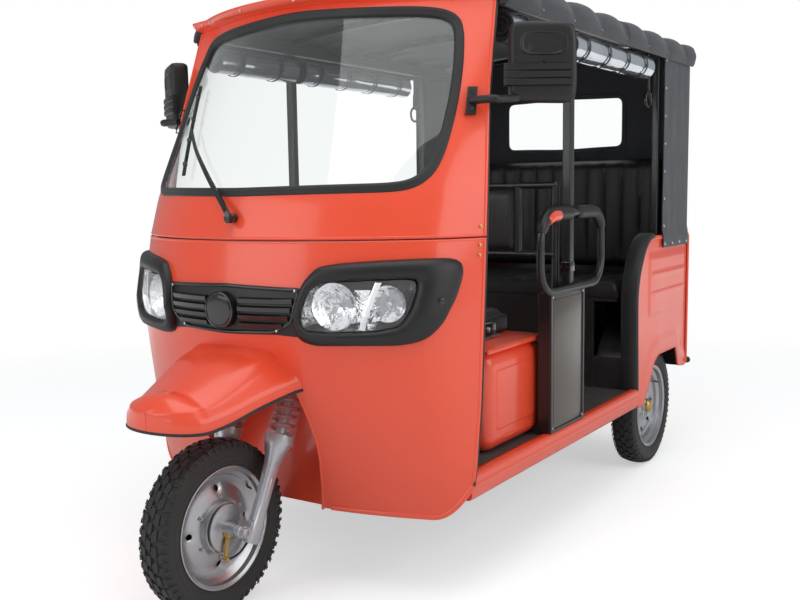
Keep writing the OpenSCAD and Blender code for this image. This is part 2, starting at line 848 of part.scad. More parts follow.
// Rear quarter: the outer panel with its wheel arch, and the wheel house behind it.
// EDGE is the front edge of the outer panel, ARCH its lower edge, HOUSE the wheel house.
panel_low = 368;
EDGE = [[-296, 711], [-190, 900], [-160, belt_z]];
ARCH = [[270, 372], [214, 380], [180, 466], [-44, 466], [-97, 443], [-147, 375], [-216, 297], [-240, sill_z]];
house_t = 5;
HOUSE = [[-272, 350], [-262, 470], [-205, 560], [-120, 604], [120, 604], [205, 560], [262, 470], [272, 350]];
module house_outline(grow) {
    offset(delta = grow)
        polygon([for (p = HOUSE) [wheelbase + p[0], p[1]]]);
}
module quarter_panel() {
    color("tomato") {
        side_plate(quarter_in, quarter_t)
            polygon([
                [step_y, sill_z], [step_y, sill_top],
                for (p = EDGE) [wheelbase + p[0], p[1]],
                [rear_y - quarter_t, belt_z], [rear_y - quarter_t, panel_low],
                for (p = ARCH) [wheelbase + p[0], p[1]]]);
        side_plate(house_x + 2, quarter_in - house_x - 2)
            difference() {
                house_outline(house_t);
                house_outline(0);
                translate([wheelbase - 400, 0])
                    square([800, 351]);
            }
        side_plate(house_x + 2, house_t)
            difference() {
                house_outline(house_t);
                translate([wheelbase - 400, 0])
                    square([800, 420]);
            }
    }
}
module quarter_panels() {
    both()
        quarter_panel();
}
// Number plate holes in the rear panel.
plate_x = 120;
plate_z = 600;
plate_hole_r = 3.5;
module rear_panel() {
    color("tomato")
        difference() {
            box(-quarter_x, quarter_x, rear_y - quarter_t, rear_y, panel_low, belt_z);
            for (s = [-1, 1])
                translate([s * plate_x, rear_y + 1, plate_z])
                    rotate([90, 0, 0])
                        cylinder(r = plate_hole_r, h = quarter_t + 2, $fn = 32);
        }
}

// Rubber edging along the front of each rear quarter.
module door_edging() {
    color("black")
        both()
            side_plate(quarter_in, quarter_t)
                polygon([
                    [step_y - 14, sill_top], [step_y, sill_top],
                    for (p = EDGE) [wheelbase + p[0], p[1]],
                    [wheelbase - 160, belt_z + 14], [wheelbase - 178, belt_z + 8],
                    [wheelbase - 204, 905], [wheelbase - 311, 715]]);
}

bumper_z = 372;
module rear_bumper() {
    color([0.1, 0.1, 0.1]) {
        for (x = [quarter_x - 10])
            rod([-x, rear_y + 11.3, bumper_z + 12], [x, rear_y + 11.3, bumper_z + 12], 11);
        both() {
            translate([quarter_x - 10, rear_y + 11.3, bumper_z + 12])
                sphere(r = 11, $fn = 32);
            box(200, 220, rear_y, rear_y + 11, bumper_z + 2, bumper_z + 22);
        }
    }
}
module tail_lamps() {
    color("red")
        both()
            box(half_w - 145, half_w - 45, rear_y, rear_y + 20, 690, 860);
}

// Mirrors: a bracket on the windscreen panel, an arm that reaches out and back, and the head.
mirror_x = half_w + 88;
mirror_y = 604;
mirror_z = 1472;
mirror_turn = 35;
module door_mirror() {
    elbow = [half_w + 18, 470, 1372];
    color([0.13, 0.13, 0.14])
        resize([0, 0, 0])
            union() {
                shell(
                    [for (z = [1332, 1372, 1412]) [for (u = [1.42, 1.5, 1.6, 1.68]) cowl_pt(z, u, 14)]],
                    [for (z = [1332, 1372, 1412])
                        [for (u = [1.42, 1.5, 1.6, 1.68]) cowl_pt(z, u, 0.8 + (1412 - z) * 0.03)]]);
                bars([cowl_pt(1372, 1.55, 17), elbow, [mirror_x - 30, mirror_y - 40, 1384]], 11);
                translate([mirror_x, mirror_y, mirror_z])
                    rotate([0, 0, mirror_turn]) {
                        translate([-92, -34, -108])
                            cube([184, 56, 216]);
                        translate([-108, -44, -62])
                            cube([180, 12, 60]);
                    }
            }
}
module door_mirrors() {
    both()
        door_mirror();
}

module battery_pack() {
    color([0.3, 0.3, 0.32])
        box(-260, 260, bench_y0 + 40, bench_y1 - 60, deck_z + floor_t, bench_z - board_t - 60);
}

// Rear axle: tube, reduction gear and motor, and a brake plate at each wheel.
tube_r = 28;
stub_r = 14;
brake_end = track / 2 - tyre_w / 2 - 14;
module rear_axle() {
    color([0.25, 0.25, 0.26])
        translate([0, wheelbase, tyre_r]) {
            rod([-brake_end, 0, 0], [brake_end, 0, 0], tube_r);
            rod([-track / 2 - 38, 0, 0], [track / 2 + 38, 0, 0], stub_r);
            rod([-70, 0, 0], [90, 0, 0], 92);
            rod([-250, 0, 0], [-69, 0, 0], 74);
            both()
                rod([brake_end - 6, 0, 0], [brake_end, 0, 0], 82);
        }
}

// Leaf springs: three leaves on the axle, with the ends held under the chassis rails.
leaf_w = 44;
leaf_t = 8;
leaf_r = 1500;
leaf_len = 215;
module leaf(k) {
    c = tyre_r + tube_r + 6 + k * leaf_t + leaf_r;
    side_plate(frame_x - leaf_w / 2, leaf_w)
        intersection() {
            difference() {
                translate([wheelbase, c])
                    circle(r = leaf_r, $fn = 200);
                translate([wheelbase, c])
                    circle(r = leaf_r - leaf_t, $fn = 200);
            }
            translate([wheelbase - leaf_len + (2 - k) * 45, 200])
                square([2 * (leaf_len - (2 - k) * 45), 200]);
        }
}
module leaf_springs() {
    color([0.18, 0.18, 0.18])
        both() {
            for (k = [0:2])
                leaf(k);
            for (k = [[0, 40, 0, 8], [-leaf_len + 8, 8, 41, frame_z + frame_h - tyre_r - tube_r],
                [leaf_len - 8, 8, 41, frame_z + frame_h - tyre_r - tube_r]])
                translate([0, wheelbase + k[0], tyre_r + tube_r])
                    box(frame_x - leaf_w / 2, frame_x + leaf_w / 2, -k[1], k[1], k[2], k[3]);
        }
}

// Fork, in the steering frame: legs, cups, yoke, stem, and lugs that reach forward to the axle.
leg_y = -8;
cup_r = 34;
module fork() {
    color([0.75, 0.76, 0.78])
        steered() {
            both() {
                translate([leg_x, leg_y, axle_s - 22])
                    cylinder(r = leg_r, h = crown_s - axle_s + 22, $fn = 40);
                translate([leg_x, leg_y, spring_s - 52])
                    cylinder(r1 = leg_r, r2 = cup_r, h = 44, $fn = 40);
                translate([leg_x, leg_y, spring_s - 8])
                    cylinder(r = cup_r, h = 8, $fn = 40);
                translate([leg_x - 11, -axle_lead - 20, axle_s - 18])
                    cube([22, axle_lead + 20 + leg_y, 36]);
            }
            translate([-leg_x - 22, leg_y - 32, crown_s])
                cube([2 * leg_x + 44, 64, yoke_t]);
            translate([0, 0, crown_s + yoke_t - 1])
                cylinder(r = stem_r, h = stem_top - crown_s - yoke_t + 1, $fn = 48);
            translate([-leg_x - 16, -axle_lead, axle_s])
                rotate([0, 90, 0])
                    cylinder(r = axle_r, h = 2 * leg_x + 32, $fn = 40);
            translate([brake_x, -axle_lead, axle_s])
                rotate([0, 90, 0])
                    cylinder(r = 66, h = 5, $fn = 48);
            translate([brake_x + 5, -axle_lead, axle_s])
                rotate([0, 90, 0])
                    cylinder(r = 20, h = leg_x - 11 - brake_x - 5, $fn = 40);
            translate([-leg_x + 11, -axle_lead, axle_s])
                rotate([0, 90, 0])
                    cylinder(r = 15, h = leg_x - 11 - hub_half - gap, $fn = 40);
        }
}
brake_x = 44;
hub_half = 40;

module fork_springs() {
    color("crimson")
        steered()
            both()
                translate([leg_x, leg_y, spring_s])
                    difference() {
                        cylinder(r = 31, h = crown_s - spring_s, $fn = 40);
                        translate([0, 0, -1])
                            cylinder(r = leg_r + 3, h = crown_s - spring_s + 2, $fn = 40);
                    }
}

bar_r = 11;
module handlebar() {
    ends = [150, 10, 48];
    color([0.12, 0.12, 0.12])
        resize([0, 0, 0])
            steered()
                translate([0, 0, stem_top]) {
                    translate([-40, -30, 0])
                        cube([80, 60, 25]);
                    bars([
                        [-180, 20, 48], [-ends[0], ends[1], ends[2]], [-90, -10, 33],
                        [90, -10, 33], ends, [180, 20, 48]], bar_r);
                    both() {
                        rod([165, 15, 48], [bar_x, 60, 48], bar_r + 3);
                        box(20, 44, -22, 2, 20, 34);
                    }
                }
}

// Wheel pieces, turned about X and centred at the wheel's middle.
module turned() {
    rotate([0, 90, 0])
        rotate_extrude($fn = 96)
            children();
}
// Half section of a tyre, as [radius, distance from the middle], from the bead to the tread.
TYRE = [
    [bead_r, 38], [flange_r + 4, 39],
    [mix(bead_r, tyre_r, 0.42), tyre_w / 2], [mix(bead_r, tyre_r, 0.6), tyre_w / 2],
    [tyre_r - 14, tyre_w / 2 - 4], [tyre_r - 3, tyre_w / 2 - 13], [tyre_r, tyre_w / 2 - 26]];
module tyre() {
    color([0.08, 0.08, 0.08])
        turned()
            polygon([
                for (s = [-1, 1], k = [0:len(TYRE) - 1])
                    let (p = TYRE[s < 0 ? k : len(TYRE) - 1 - k]) [p[0], s * p[1]]]);
}
// Rim and hub: disc is where the wheel's disc stands, drum the reach of the brake drum towards +X.
module rim(bore, disc, hub0, hub1, drum_r, drum0, drum1) {
    color([0.75, 0.76, 0.78])
        turned()
            difference() {
                union() {
                    translate([bead_r - 5, -43])
                        square([5, 86]);
                    for (s = [-1, 1])
                        translate([bead_r - 2, s * 41 - 2])
                            square([flange_r - bead_r + 2, 4]);
                    translate([bore, disc - 4])
                        square([bead_r - 4 - bore, 8]);
                    translate([bore, hub0])
                        square([26, hub1 - hub0]);
                    translate([bore, drum0])
                        square([drum_r - bore, drum1 - drum0]);
                }
            }
}
module front_tyre() {
    translate([0, 0, tyre_r])
        tyre();
}
module front_rim() {
    translate([0, 0, tyre_r])
        rim(axle_r + gap, -14, -hub_half, hub_half, 72, -14, brake_x - 5);
}
module rear_wheel_at() {
    translate([track / 2, wheelbase, tyre_r])
        children();
}
module rear_rim() {
    rear_wheel_at()
        rim(stub_r + gap, 6, brake_end + clear - track / 2, 34, 78, brake_end + clear - track / 2, 6);
}
module left_tyre() {
    rear_wheel_at()
        tyre();
}
module left_rim() {
    rear_rim();
}
module right_tyre() {
    mirror([1, 0, 0])
        left_tyre();
}
module right_rim() {
    mirror([1, 0, 0])
        rear_rim();
}

placed() front_panel();
placed() windscreen_panel();
placed() windscreen_seal();
placed() windscreen();
placed() wheel_well();
placed() front_mudguard();
placed() mudguard_edging();
placed() lamp_fascia();
placed() grille();
placed() headlamps();
placed() wiper();
placed() dashboard();
placed() chassis_frame();
placed() floor_plate();
placed() floor_mat();
placed() sills();
placed() side_posts();
placed() grab_loops();
placed() roof_frame();
placed() canopy();
placed() rear_canvas();
placed() rear_window();
placed() side_curtains();
placed() hanging_rings();
placed() driver_seat_box();
placed() driver_seat();
placed() hand_brake();
placed() partition();
placed() driver_backrest();
placed() rear_bench_base();
placed() rear_bench_cushion();
placed() rear_backrest();
placed() quarter_panels();
placed() rear_panel();
placed() door_edging();
placed() rear_bumper();
placed() tail_lamps();
placed() door_mirrors();
placed() battery_pack();
placed() rear_axle();
placed() leaf_springs();
placed() fork();
placed() fork_springs();
placed() handlebar();
placed() front_tyre();
placed() front_rim();
placed() left_tyre();
placed() left_rim();
placed() right_tyre();
placed() right_rim();
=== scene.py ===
# %% [markdown]
# # A three-wheeled auto rickshaw
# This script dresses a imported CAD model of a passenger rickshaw. The CAD model fixes the size and place
# of every piece. Here each visible piece gets its real surface: smooth lofted steel, soft canvas, cast and
# pressed wheels, clear lamps. Lengths inside functions are workshop millimetres measured from the front
# axle, because that is how a body shop thinks. One helper turns them into Blender's metres.

import json
import math

import bmesh
import bpy
from mathutils import Matrix, Vector, geometry, noise

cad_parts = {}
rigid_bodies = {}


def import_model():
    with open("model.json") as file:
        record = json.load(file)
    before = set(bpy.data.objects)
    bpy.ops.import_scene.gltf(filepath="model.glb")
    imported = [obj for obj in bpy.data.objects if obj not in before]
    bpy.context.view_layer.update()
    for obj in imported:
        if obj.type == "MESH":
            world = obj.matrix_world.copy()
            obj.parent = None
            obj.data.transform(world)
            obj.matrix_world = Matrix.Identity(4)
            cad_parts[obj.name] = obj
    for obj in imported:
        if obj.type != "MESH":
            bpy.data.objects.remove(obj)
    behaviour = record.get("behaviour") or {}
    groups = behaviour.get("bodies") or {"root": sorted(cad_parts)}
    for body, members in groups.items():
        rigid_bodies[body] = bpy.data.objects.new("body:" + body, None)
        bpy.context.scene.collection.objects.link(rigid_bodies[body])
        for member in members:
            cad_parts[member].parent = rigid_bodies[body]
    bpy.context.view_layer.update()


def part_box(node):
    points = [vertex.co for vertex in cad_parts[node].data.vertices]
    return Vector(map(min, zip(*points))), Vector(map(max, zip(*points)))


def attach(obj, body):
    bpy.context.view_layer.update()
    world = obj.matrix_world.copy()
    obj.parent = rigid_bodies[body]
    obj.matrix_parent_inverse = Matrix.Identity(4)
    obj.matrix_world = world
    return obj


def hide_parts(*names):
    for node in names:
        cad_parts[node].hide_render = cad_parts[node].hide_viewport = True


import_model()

# %% [markdown]
# ## Workshop measures
# The front wheel's centre is the origin of the body shop's measures, so it is read from the frame.
# Everything else that is repeated from the CAD is a driving size: half widths, heights, the wheelbase.

# %% Measures and the helper that places points
tyre_low, tyre_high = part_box("front_tyre")
AXLE = (tyre_low + tyre_high) / 2
TYRE_R = (tyre_high.z - tyre_low.z) * 500
TYRE_W = (tyre_high.x - tyre_low.x) * 1000
HALF_W = 600
WHEELBASE = 2000
REAR_Y = WHEELBASE + 330
TRACK = 992
RAKE = math.radians(27)
ROOF_TOP = 1756
BELT_Z = 940
FLOOR_Z = 350


def at(x, y, z):
    """A workshop point in millimetres from the front axle, as Blender metres."""
    return Vector((x / 1000, AXLE.y + y / 1000, z / 1000))


print("front axle at", tuple(round(v, 4) for v in AXLE), "tyre radius", round(TYRE_R, 1))


# %% [markdown]
# ## Two ways to make a mesh
# Most pieces are either a grid of points (a loft, a sweep, a rolled sheet) or a flat outline that is filled
# and then laid on a curved surface. Both helpers build a bmesh, shade it smooth and hand back an object.

# %% Mesh helpers
def new_object(name, verts, faces, material, body, smooth=40):
    mesh = bpy.data.meshes.new(name)
    mesh.from_pydata([tuple(v) for v in verts], [], faces)
    bm = bmesh.new()
    bm.from_mesh(mesh)
    bmesh.ops.remove_doubles(bm, verts=bm.verts, dist=1e-5)
    bmesh.ops.recalc_face_normals(bm, faces=bm.faces)
    bm.to_mesh(mesh)
    bm.free()
    obj = bpy.data.objects.new(name, mesh)
    bpy.context.scene.collection.objects.link(obj)
    finish_mesh(obj, material, body, smooth)
    return obj


def finish_mesh(obj, material, body, smooth=40):
    """Shades a mesh smooth up to an angle, gives it its material and seats it on a CAD body."""
    mesh = obj.data
    mesh.polygons.foreach_set("use_smooth", [True] * len(mesh.polygons))
    mesh.set_sharp_from_angle(angle=math.radians(smooth))
    mesh.materials.clear()
    mesh.materials.append(material)
    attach(obj, body)
    return obj


def modify(obj, kind, **settings):
    """Adds a modifier and applies it at once, so the mesh is final."""
    modifier = obj.modifiers.new(kind.title(), kind)
    for key, value in settings.items():
        setattr(modifier, key, value)
    depsgraph = bpy.context.evaluated_depsgraph_get()
    mesh = bpy.data.meshes.new_from_object(obj.evaluated_get(depsgraph))
    obj.modifiers.remove(modifier)
    old = obj.data
    obj.data = mesh
    bpy.data.meshes.remove(old)
    return obj


def grid(rows, close_u=False, close_v=False):
    """Vertices and quads of a grid of points; u runs along a row and v from row to row."""
    n, m = len(rows), len(rows[0])
    verts = [p for row in rows for p in row]
    faces = []
    for i in range(n if close_v else n - 1):
        for j in range(m if close_u else m - 1):
            a, b = i * m + j, i * m + (j + 1) % m
            c, d = ((i + 1) % n) * m + (j + 1) % m, ((i + 1) % n) * m + j
            faces.append((a, b, c, d))
    return verts, faces


def grid_object(name, rows, material, body, thick=0, close_u=False, close_v=False, smooth=40, offset=-1, caps=False):
    verts, faces = grid(rows, close_u, close_v)
    if caps:
        m = len(rows[0])
        faces.append(tuple(range(m)))
        faces.append(tuple(range((len(rows) - 1) * m, len(rows) * m)))
    obj = new_object(name, verts, faces, material, body, smooth)
    if thick:
        modify(obj, "SOLIDIFY", thickness=thick / 1000, offset=offset, use_even_offset=False)
        finish_mesh(obj, material, body, smooth)
    return obj


def join(name, pieces, body):
    """Several meshes become one object that keeps each piece's material."""
    bpy.context.view_layer.update()
    bm = bmesh.new()
    materials = []
    for piece in pieces:
        for material in piece.data.materials:
            if material not in materials:
                materials.append(material)
        first = len(bm.faces)
        bm.from_mesh(piece.data)
        bm.faces.ensure_lookup_table()
        index = materials.index(piece.data.materials[0]) if len(piece.data.materials) == 1 else None
        slots = [materials.index(m) for m in piece.data.materials]
        for face in bm.faces[first:]:
            face.material_index = index if index is not None else slots[face.material_index]
    mesh = bpy.data.meshes.new(name)
    bm.to_mesh(mesh)
    bm.free()
    for material in materials:
        mesh.materials.append(material)
    obj = bpy.data.objects.new(name, mesh)
    bpy.context.scene.collection.objects.link(obj)
    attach(obj, body)
    for piece in pieces:
        old = piece.data
        bpy.data.objects.remove(piece)
        if not old.users:
            bpy.data.meshes.remove(old)
    return obj


def sweep(name, path, radius, material, body, sides=12, closed=False, profile=None, up=None, smooth=50):
    """A tube, or any closed profile, swept along a row of points. Radius may be a list, one per point."""
    count = len(path)
    shape = profile or [(math.cos(2 * math.pi * k / sides), math.sin(2 * math.pi * k / sides)) for k in range(sides)]
    rows = []
    side = None
    for i, point in enumerate(path):
        before = path[(i - 1) % count] if closed or i else path[0]
        after = path[(i + 1) % count] if closed or i < count - 1 else path[-1]
        along = (after - before).normalized()
        if up is not None:
            guide = up[i] if isinstance(up, list) else up
            side = along.cross(guide).normalized()
        elif side is None:
            guide = Vector((0, 0, 1)) if abs(along.z) < 0.9 else Vector((0, 1, 0))
            side = along.cross(guide).normalized()
        else:
            side = (side - along * side.dot(along)).normalized()
        top = side.cross(along)
        r = (radius[i] if isinstance(radius, (list, tuple)) else radius) / 1000
        rows.append([point + side * (u * r) + top * (v * r) for u, v in shape])
    verts, faces = grid(rows, close_u=True, close_v=closed)
    if not closed:
        faces += [tuple(range(len(shape))), tuple(range((count - 1) * len(shape), count * len(shape)))]
    return new_object(name, verts, faces, material, body, smooth)


def curve_points(points, per=8, closed=False):
    """A smooth Catmull-Rom path through a few points."""
    out = []
    count = len(points)
    for i in range(count if closed else count - 1):
        p = [points[(i + k) % count] if closed else points[min(max(i + k, 0), count - 1)] for k in (-1, 0, 1, 2)]
        for s in range(per):
            t = s / per
            out.append(0.5 * ((2 * p[1]) + (p[2] - p[0]) * t + (2 * p[0] - 5 * p[1] + 4 * p[2] - p[3]) * t * t
                              + (3 * p[1] - p[0] - 3 * p[2] + p[3]) * t ** 3))
    if not closed:
        out.append(points[-1].copy())
    return out


def rounded_box(name, low, high, r, material, body, segments=3, taper=None):
    """A box with rounded edges, in workshop millimetres. Taper shrinks the top by (x, y)."""
    bm = bmesh.new()
    bmesh.ops.create_cube(bm, size=1)
    size = [high[k] - low[k] for k in range(3)]
    for v in bm.verts:
        t = taper if taper and v.co.z > 0 else (0, 0)
        p = [(v.co[k] + 0.5) * size[k] + low[k] for k in range(3)]
        mid = [(low[k] + high[k]) / 2 for k in range(3)]
        p[0] += (mid[0] - p[0]) / (size[0] / 2) * t[0]
        p[1] += (mid[1] - p[1]) / (size[1] / 2) * t[1]
        v.co = at(*p)
    bmesh.ops.bevel(bm, geom=bm.edges[:] + bm.verts[:], offset=min(r, min(size) * 0.49) / 1000, segments=segments,
                    affect="EDGES", profile=0.5)
    mesh = bpy.data.meshes.new(name)
    bm.to_mesh(mesh)
    bm.free()
    obj = bpy.data.objects.new(name, mesh)
    bpy.context.scene.collection.objects.link(obj)
    return finish_mesh(obj, material, body, 35)


def turned(name, outline, centre, material, body, axis="x", sides=72, closed=True, smooth=30):
    """An outline of (radius, distance along the axis) turned about an axis through centre."""
    rows = []
    for k in range(sides):
        a = 2 * math.pi * k / sides
        if axis == "x":
            rows.append([centre + Vector((s, r * math.cos(a), r * math.sin(a))) / 1000 for r, s in outline])
        elif axis == "y":
            rows.append([centre + Vector((r * math.cos(a), s, r * math.sin(a))) / 1000 for r, s in outline])
        else:
            rows.append([centre + Vector((r * math.cos(a), r * math.sin(a), s)) / 1000 for r, s in outline])
    verts, faces = grid(rows, close_u=closed, close_v=True)
    return new_object(name, verts, faces, material, body, smooth)


def moved(obj, matrix):
    """Bakes a turn or a move into the mesh, so the object itself stays at the origin."""
    obj.data.transform(matrix)
    return obj


def steered(p):
    """A point given along the raked steering axis: x, y across it and z up it, in millimetres."""
    s, c = math.sin(RAKE), math.cos(RAKE)
    return at(p[0], 60 / c + p[1] * c + p[2] * s, TYRE_R - p[1] * s + p[2] * c)


STEER = Matrix.Translation(steered((0, 0, 0))) @ Matrix.Rotation(-RAKE, 4, "X")

# %% [markdown]
# ## Shared surface effects
# Every real surface has grain finer than anything worth modelling: paint has a faint orange peel, plastic a
# moulded texture, cloth a weave. Each effect is a node group with its own values in every material. The
# groups put out only masks and heights. The shader, and every number that is the same all over, stays in
# the material.

# %% Node groups
def group(name, inputs, outputs):
    tree = bpy.data.node_groups.new(name, "ShaderNodeTree")
    for label, default in inputs:
        socket = tree.interface.new_socket(label, in_out="INPUT", socket_type="NodeSocketFloat")
        socket.default_value = default
    for label in outputs:
        tree.interface.new_socket(label, in_out="OUTPUT", socket_type="NodeSocketFloat")
    return tree, tree.nodes.new("NodeGroupInput"), tree.nodes.new("NodeGroupOutput")


def wire(tree, kind, settings=(), **inputs):
    node = tree.nodes.new(kind)
    for key, value in dict(settings).items():
        setattr(node, key, value)
    for key, value in inputs.items():
        socket = node.inputs[int(key[1:])] if key[0] == "i" and key[1:].isdigit() else node.inputs[key.replace("_", " ")]
        if isinstance(value, bpy.types.NodeSocket):
            tree.links.new(value, socket)
        else:
            socket.default_value = value
    return node


def math_node(tree, operation, a, b=0.0, c=0.0):
    return wire(tree, "ShaderNodeMath", {"operation": operation}, i0=a, i1=b, i2=c).outputs[0]


def coordinates(tree):
    return wire(tree, "ShaderNodeTexCoord").outputs["Object"]


def make_grain():
    tree, inside, outside = group("Fine grain", [("Scale", 400.0), ("Detail", 3.0), ("Cloud scale", 6.0)], ["Height", "Cloud"])
    place = coordinates(tree)
    fine = wire(tree, "ShaderNodeTexNoise", Vector=place, Scale=inside.outputs["Scale"], Detail=inside.outputs["Detail"])
    cloud = wire(tree, "ShaderNodeTexNoise", Vector=place, Scale=inside.outputs["Cloud scale"], Detail=3.0)
    tree.links.new(fine.outputs["Fac"], outside.inputs["Height"])
    tree.links.new(cloud.outputs["Fac"], outside.inputs["Cloud"])
    return tree


def make_weave():
    tree, inside, outside = group("Woven cloth", [("Threads per metre", 900.0)], ["Height", "Shade"])
    place = wire(tree, "ShaderNodeSeparateXYZ", Vector=coordinates(tree))
    waves = []
    for axes in (("X", "Y"), ("Z", "X")):
        total = math_node(tree, "ADD", place.outputs[axes[0]], place.outputs[axes[1]])
        turns = math_node(tree, "MULTIPLY", total, inside.outputs["Threads per metre"])
        waves.append(math_node(tree, "SINE", math_node(tree, "MULTIPLY", turns, 2 * math.pi)))
    both = math_node(tree, "MULTIPLY", waves[0], waves[1])
    tree.links.new(both, outside.inputs["Height"])
    shade = wire(tree, "ShaderNodeTexNoise", Vector=coordinates(tree), Scale=9.0, Detail=5.0)
    tree.links.new(shade.outputs["Fac"], outside.inputs["Shade"])
    return tree


def make_dust():
    tree, inside, outside = group("Road dust", [("Low", 0.0), ("High", 0.5), ("Patch scale", 14.0)], ["Mask"])
    place = wire(tree, "ShaderNodeSeparateXYZ", Vector=coordinates(tree))
    fall = wire(tree, "ShaderNodeMapRange", i0=place.outputs["Z"], i1=inside.outputs["Low"], i2=inside.outputs["High"], i3=1.0, i4=0.0)
    patch = wire(tree, "ShaderNodeTexNoise", Vector=coordinates(tree), Scale=inside.outputs["Patch scale"], Detail=6.0)
    mask = math_node(tree, "MULTIPLY", fall.outputs[0], math_node(tree, "SMOOTH_MIN", patch.outputs["Fac"], 0.7, 0.2))
    tree.links.new(mask, outside.inputs["Mask"])
    return tree


GRAIN, WEAVE, DUST = make_grain(), make_weave(), make_dust()
print("groups:", [g.name for g in bpy.data.node_groups])


# %% [markdown]
# ## Materials
# `finish_of` is the one recipe: a base colour that clouds a little, a roughness that varies with it, and a
# bump from grain or weave. What makes paint paint and rubber rubber is the set of plain numbers on the
# shader: coat, roughness, metallic, transmission.

# %% The recipe and the finishes
def finish_of(name, colour, rough=0.5, metal=0.0, coat=0.0, coat_rough=0.05, bump=0.1, grain=400.0, cloud=6.0,
              vary=0.12, rough_vary=0.15, weave=None, dust=None, transmit=0.0, alpha=None, ior=1.5, sheen=0.0, glow=None,
              bump_distance=0.0006, specular=0.5):
    material = bpy.data.materials.new(name)
    material.use_nodes = True
    tree = material.node_tree
    shader = tree.nodes["Principled BSDF"]
    shader.inputs["Metallic"].default_value = metal
    shader.inputs["Coat Weight"].default_value = coat
    shader.inputs["Coat Roughness"].default_value = coat_rough
    shader.inputs["Transmission Weight"].default_value = transmit
    shader.inputs["IOR"].default_value = ior
    shader.inputs["Specular IOR Level"].default_value = specular
    shader.inputs["Sheen Weight"].default_value = sheen
    if alpha is not None:
        shader.inputs["Alpha"].default_value = alpha
    if glow:
        shader.inputs["Emission Color"].default_value = (*glow, 1)
        shader.inputs["Emission Strength"].default_value = 0.4
    if weave:
        effect = wire(tree, "ShaderNodeGroup", {"node_tree": WEAVE}, Threads_per_metre=weave)
        height, shade = effect.outputs["Height"], effect.outputs["Shade"]
    elif bump or vary or rough_vary:
        effect = wire(tree, "ShaderNodeGroup", {"node_tree": GRAIN}, Scale=grain, Cloud_scale=cloud)
        height, shade = effect.outputs["Height"], effect.outputs["Cloud"]
    out = None
    if vary:
        dark = [c * (1 - vary) for c in colour] + [1]
        light = [min(1, c * (1 + vary)) for c in colour] + [1]
        out = wire(tree, "ShaderNodeMix", {"data_type": "RGBA"}, i0=shade, i6=dark, i7=light).outputs[2]
    if dust:
        amount, low, high, tone = dust
        mask = wire(tree, "ShaderNodeGroup", {"node_tree": DUST}, Low=low, High=high)
        share = math_node(tree, "MULTIPLY", mask.outputs["Mask"], amount)
        out = wire(tree, "ShaderNodeMix", {"data_type": "RGBA"}, i0=share, i6=out, i7=(*tone, 1)).outputs[2]
    if out:
        tree.links.new(out, shader.inputs["Base Color"])
    else:
        shader.inputs["Base Color"].default_value = (*colour, 1)
    if rough_vary:
        level = wire(tree, "ShaderNodeMapRange", i0=shade, i1=0.3, i2=0.7, i3=max(0.02, rough * (1 - rough_vary)),
                     i4=min(1, rough * (1 + rough_vary)))
        tree.links.new(level.outputs[0], shader.inputs["Roughness"])
    else:
        shader.inputs["Roughness"].default_value = rough
    if bump:
        relief = wire(tree, "ShaderNodeBump", Strength=bump, Distance=bump_distance, Height=height)
        tree.links.new(relief.outputs["Normal"], shader.inputs["Normal"])
    return material


TAN_DUST = (0.32, 0.27, 0.21)
PAINT = finish_of("Orange body enamel", (0.92, 0.080, 0.027), rough=0.36, coat=0.6, coat_rough=0.12, bump=0.05,
                  grain=220, vary=0.03, dust=(0.10, 0.2, 0.7, TAN_DUST))
BLACK_STEEL = finish_of("Black chassis paint", (0.017, 0.017, 0.018), rough=0.42, coat=0.35, coat_rough=0.2, bump=0.12,
                        grain=300, dust=(0.25, 0.1, 0.45, TAN_DUST))
TUBE_BLACK = finish_of("Black powder coat", (0.014, 0.014, 0.015), rough=0.36, coat=0.25, bump=0.15, grain=700)
BRONZE = finish_of("Bronze panel paint", (0.058, 0.044, 0.030), rough=0.38, coat=0.6, coat_rough=0.15, bump=0.10,
                   grain=500, vary=0.25, cloud=10)
MOULDED = finish_of("Moulded black plastic", (0.010, 0.0095, 0.0095), rough=0.42, bump=0.35, grain=1400, vary=0.2)
GLOSS_BLACK = finish_of("Polished black plastic", (0.010, 0.010, 0.011), rough=0.16, coat=0.5, bump=0.02)
RUBBER = finish_of("Seal rubber", (0.014, 0.014, 0.015), rough=0.55, bump=0.15, grain=500, sheen=0.1)
MAT_RUBBER = finish_of("Floor mat rubber", (0.030, 0.030, 0.034), rough=0.62, bump=0.25, grain=900,
                       dust=(0.35, 0.30, 0.42, TAN_DUST))
TREAD = finish_of("Tyre rubber", (0.021, 0.020, 0.019), rough=0.68, bump=0.45, grain=260, vary=0.3, sheen=0.15,
                  bump_distance=0.0012)
CANVAS = finish_of("Coated black canvas", (0.022, 0.025, 0.032), rough=0.58, weave=650, bump=0.35, vary=0.2, sheen=0.25)
# Only the discs inside the curtain roll ends use this dark cloth: painted shade for the roll's hollow, not a lining.
ROLL_END_SHADE = finish_of("Roll end shade cloth", (0.030, 0.030, 0.033), rough=0.8, weave=420, bump=0.4, vary=0.25, sheen=0.2)
VINYL = finish_of("Grained seat vinyl", (0.022, 0.022, 0.024), rough=0.44, bump=0.5, grain=900, vary=0.15,
                  bump_distance=0.0008)
THREAD = finish_of("Seat thread", (0.09, 0.09, 0.095), rough=0.7, weave=1500, bump=0.4)
WEBBING = finish_of("Strap webbing", (0.016, 0.016, 0.017), rough=0.75, weave=500, bump=0.5, sheen=0.2)
SCREEN = finish_of("Windscreen glass", (0.93, 0.97, 0.96), rough=0.02, bump=0.0, vary=0.0, transmit=1.0, ior=1.05,
                   rough_vary=0.0, coat=1.0, coat_rough=0.02)
LAMP_COVER = finish_of("Clear lamp cover", (0.97, 0.98, 0.99), rough=0.03, bump=0.0, vary=0.0, transmit=1.0, ior=1.15,
                       rough_vary=0.0, coat=1.0, coat_rough=0.02)
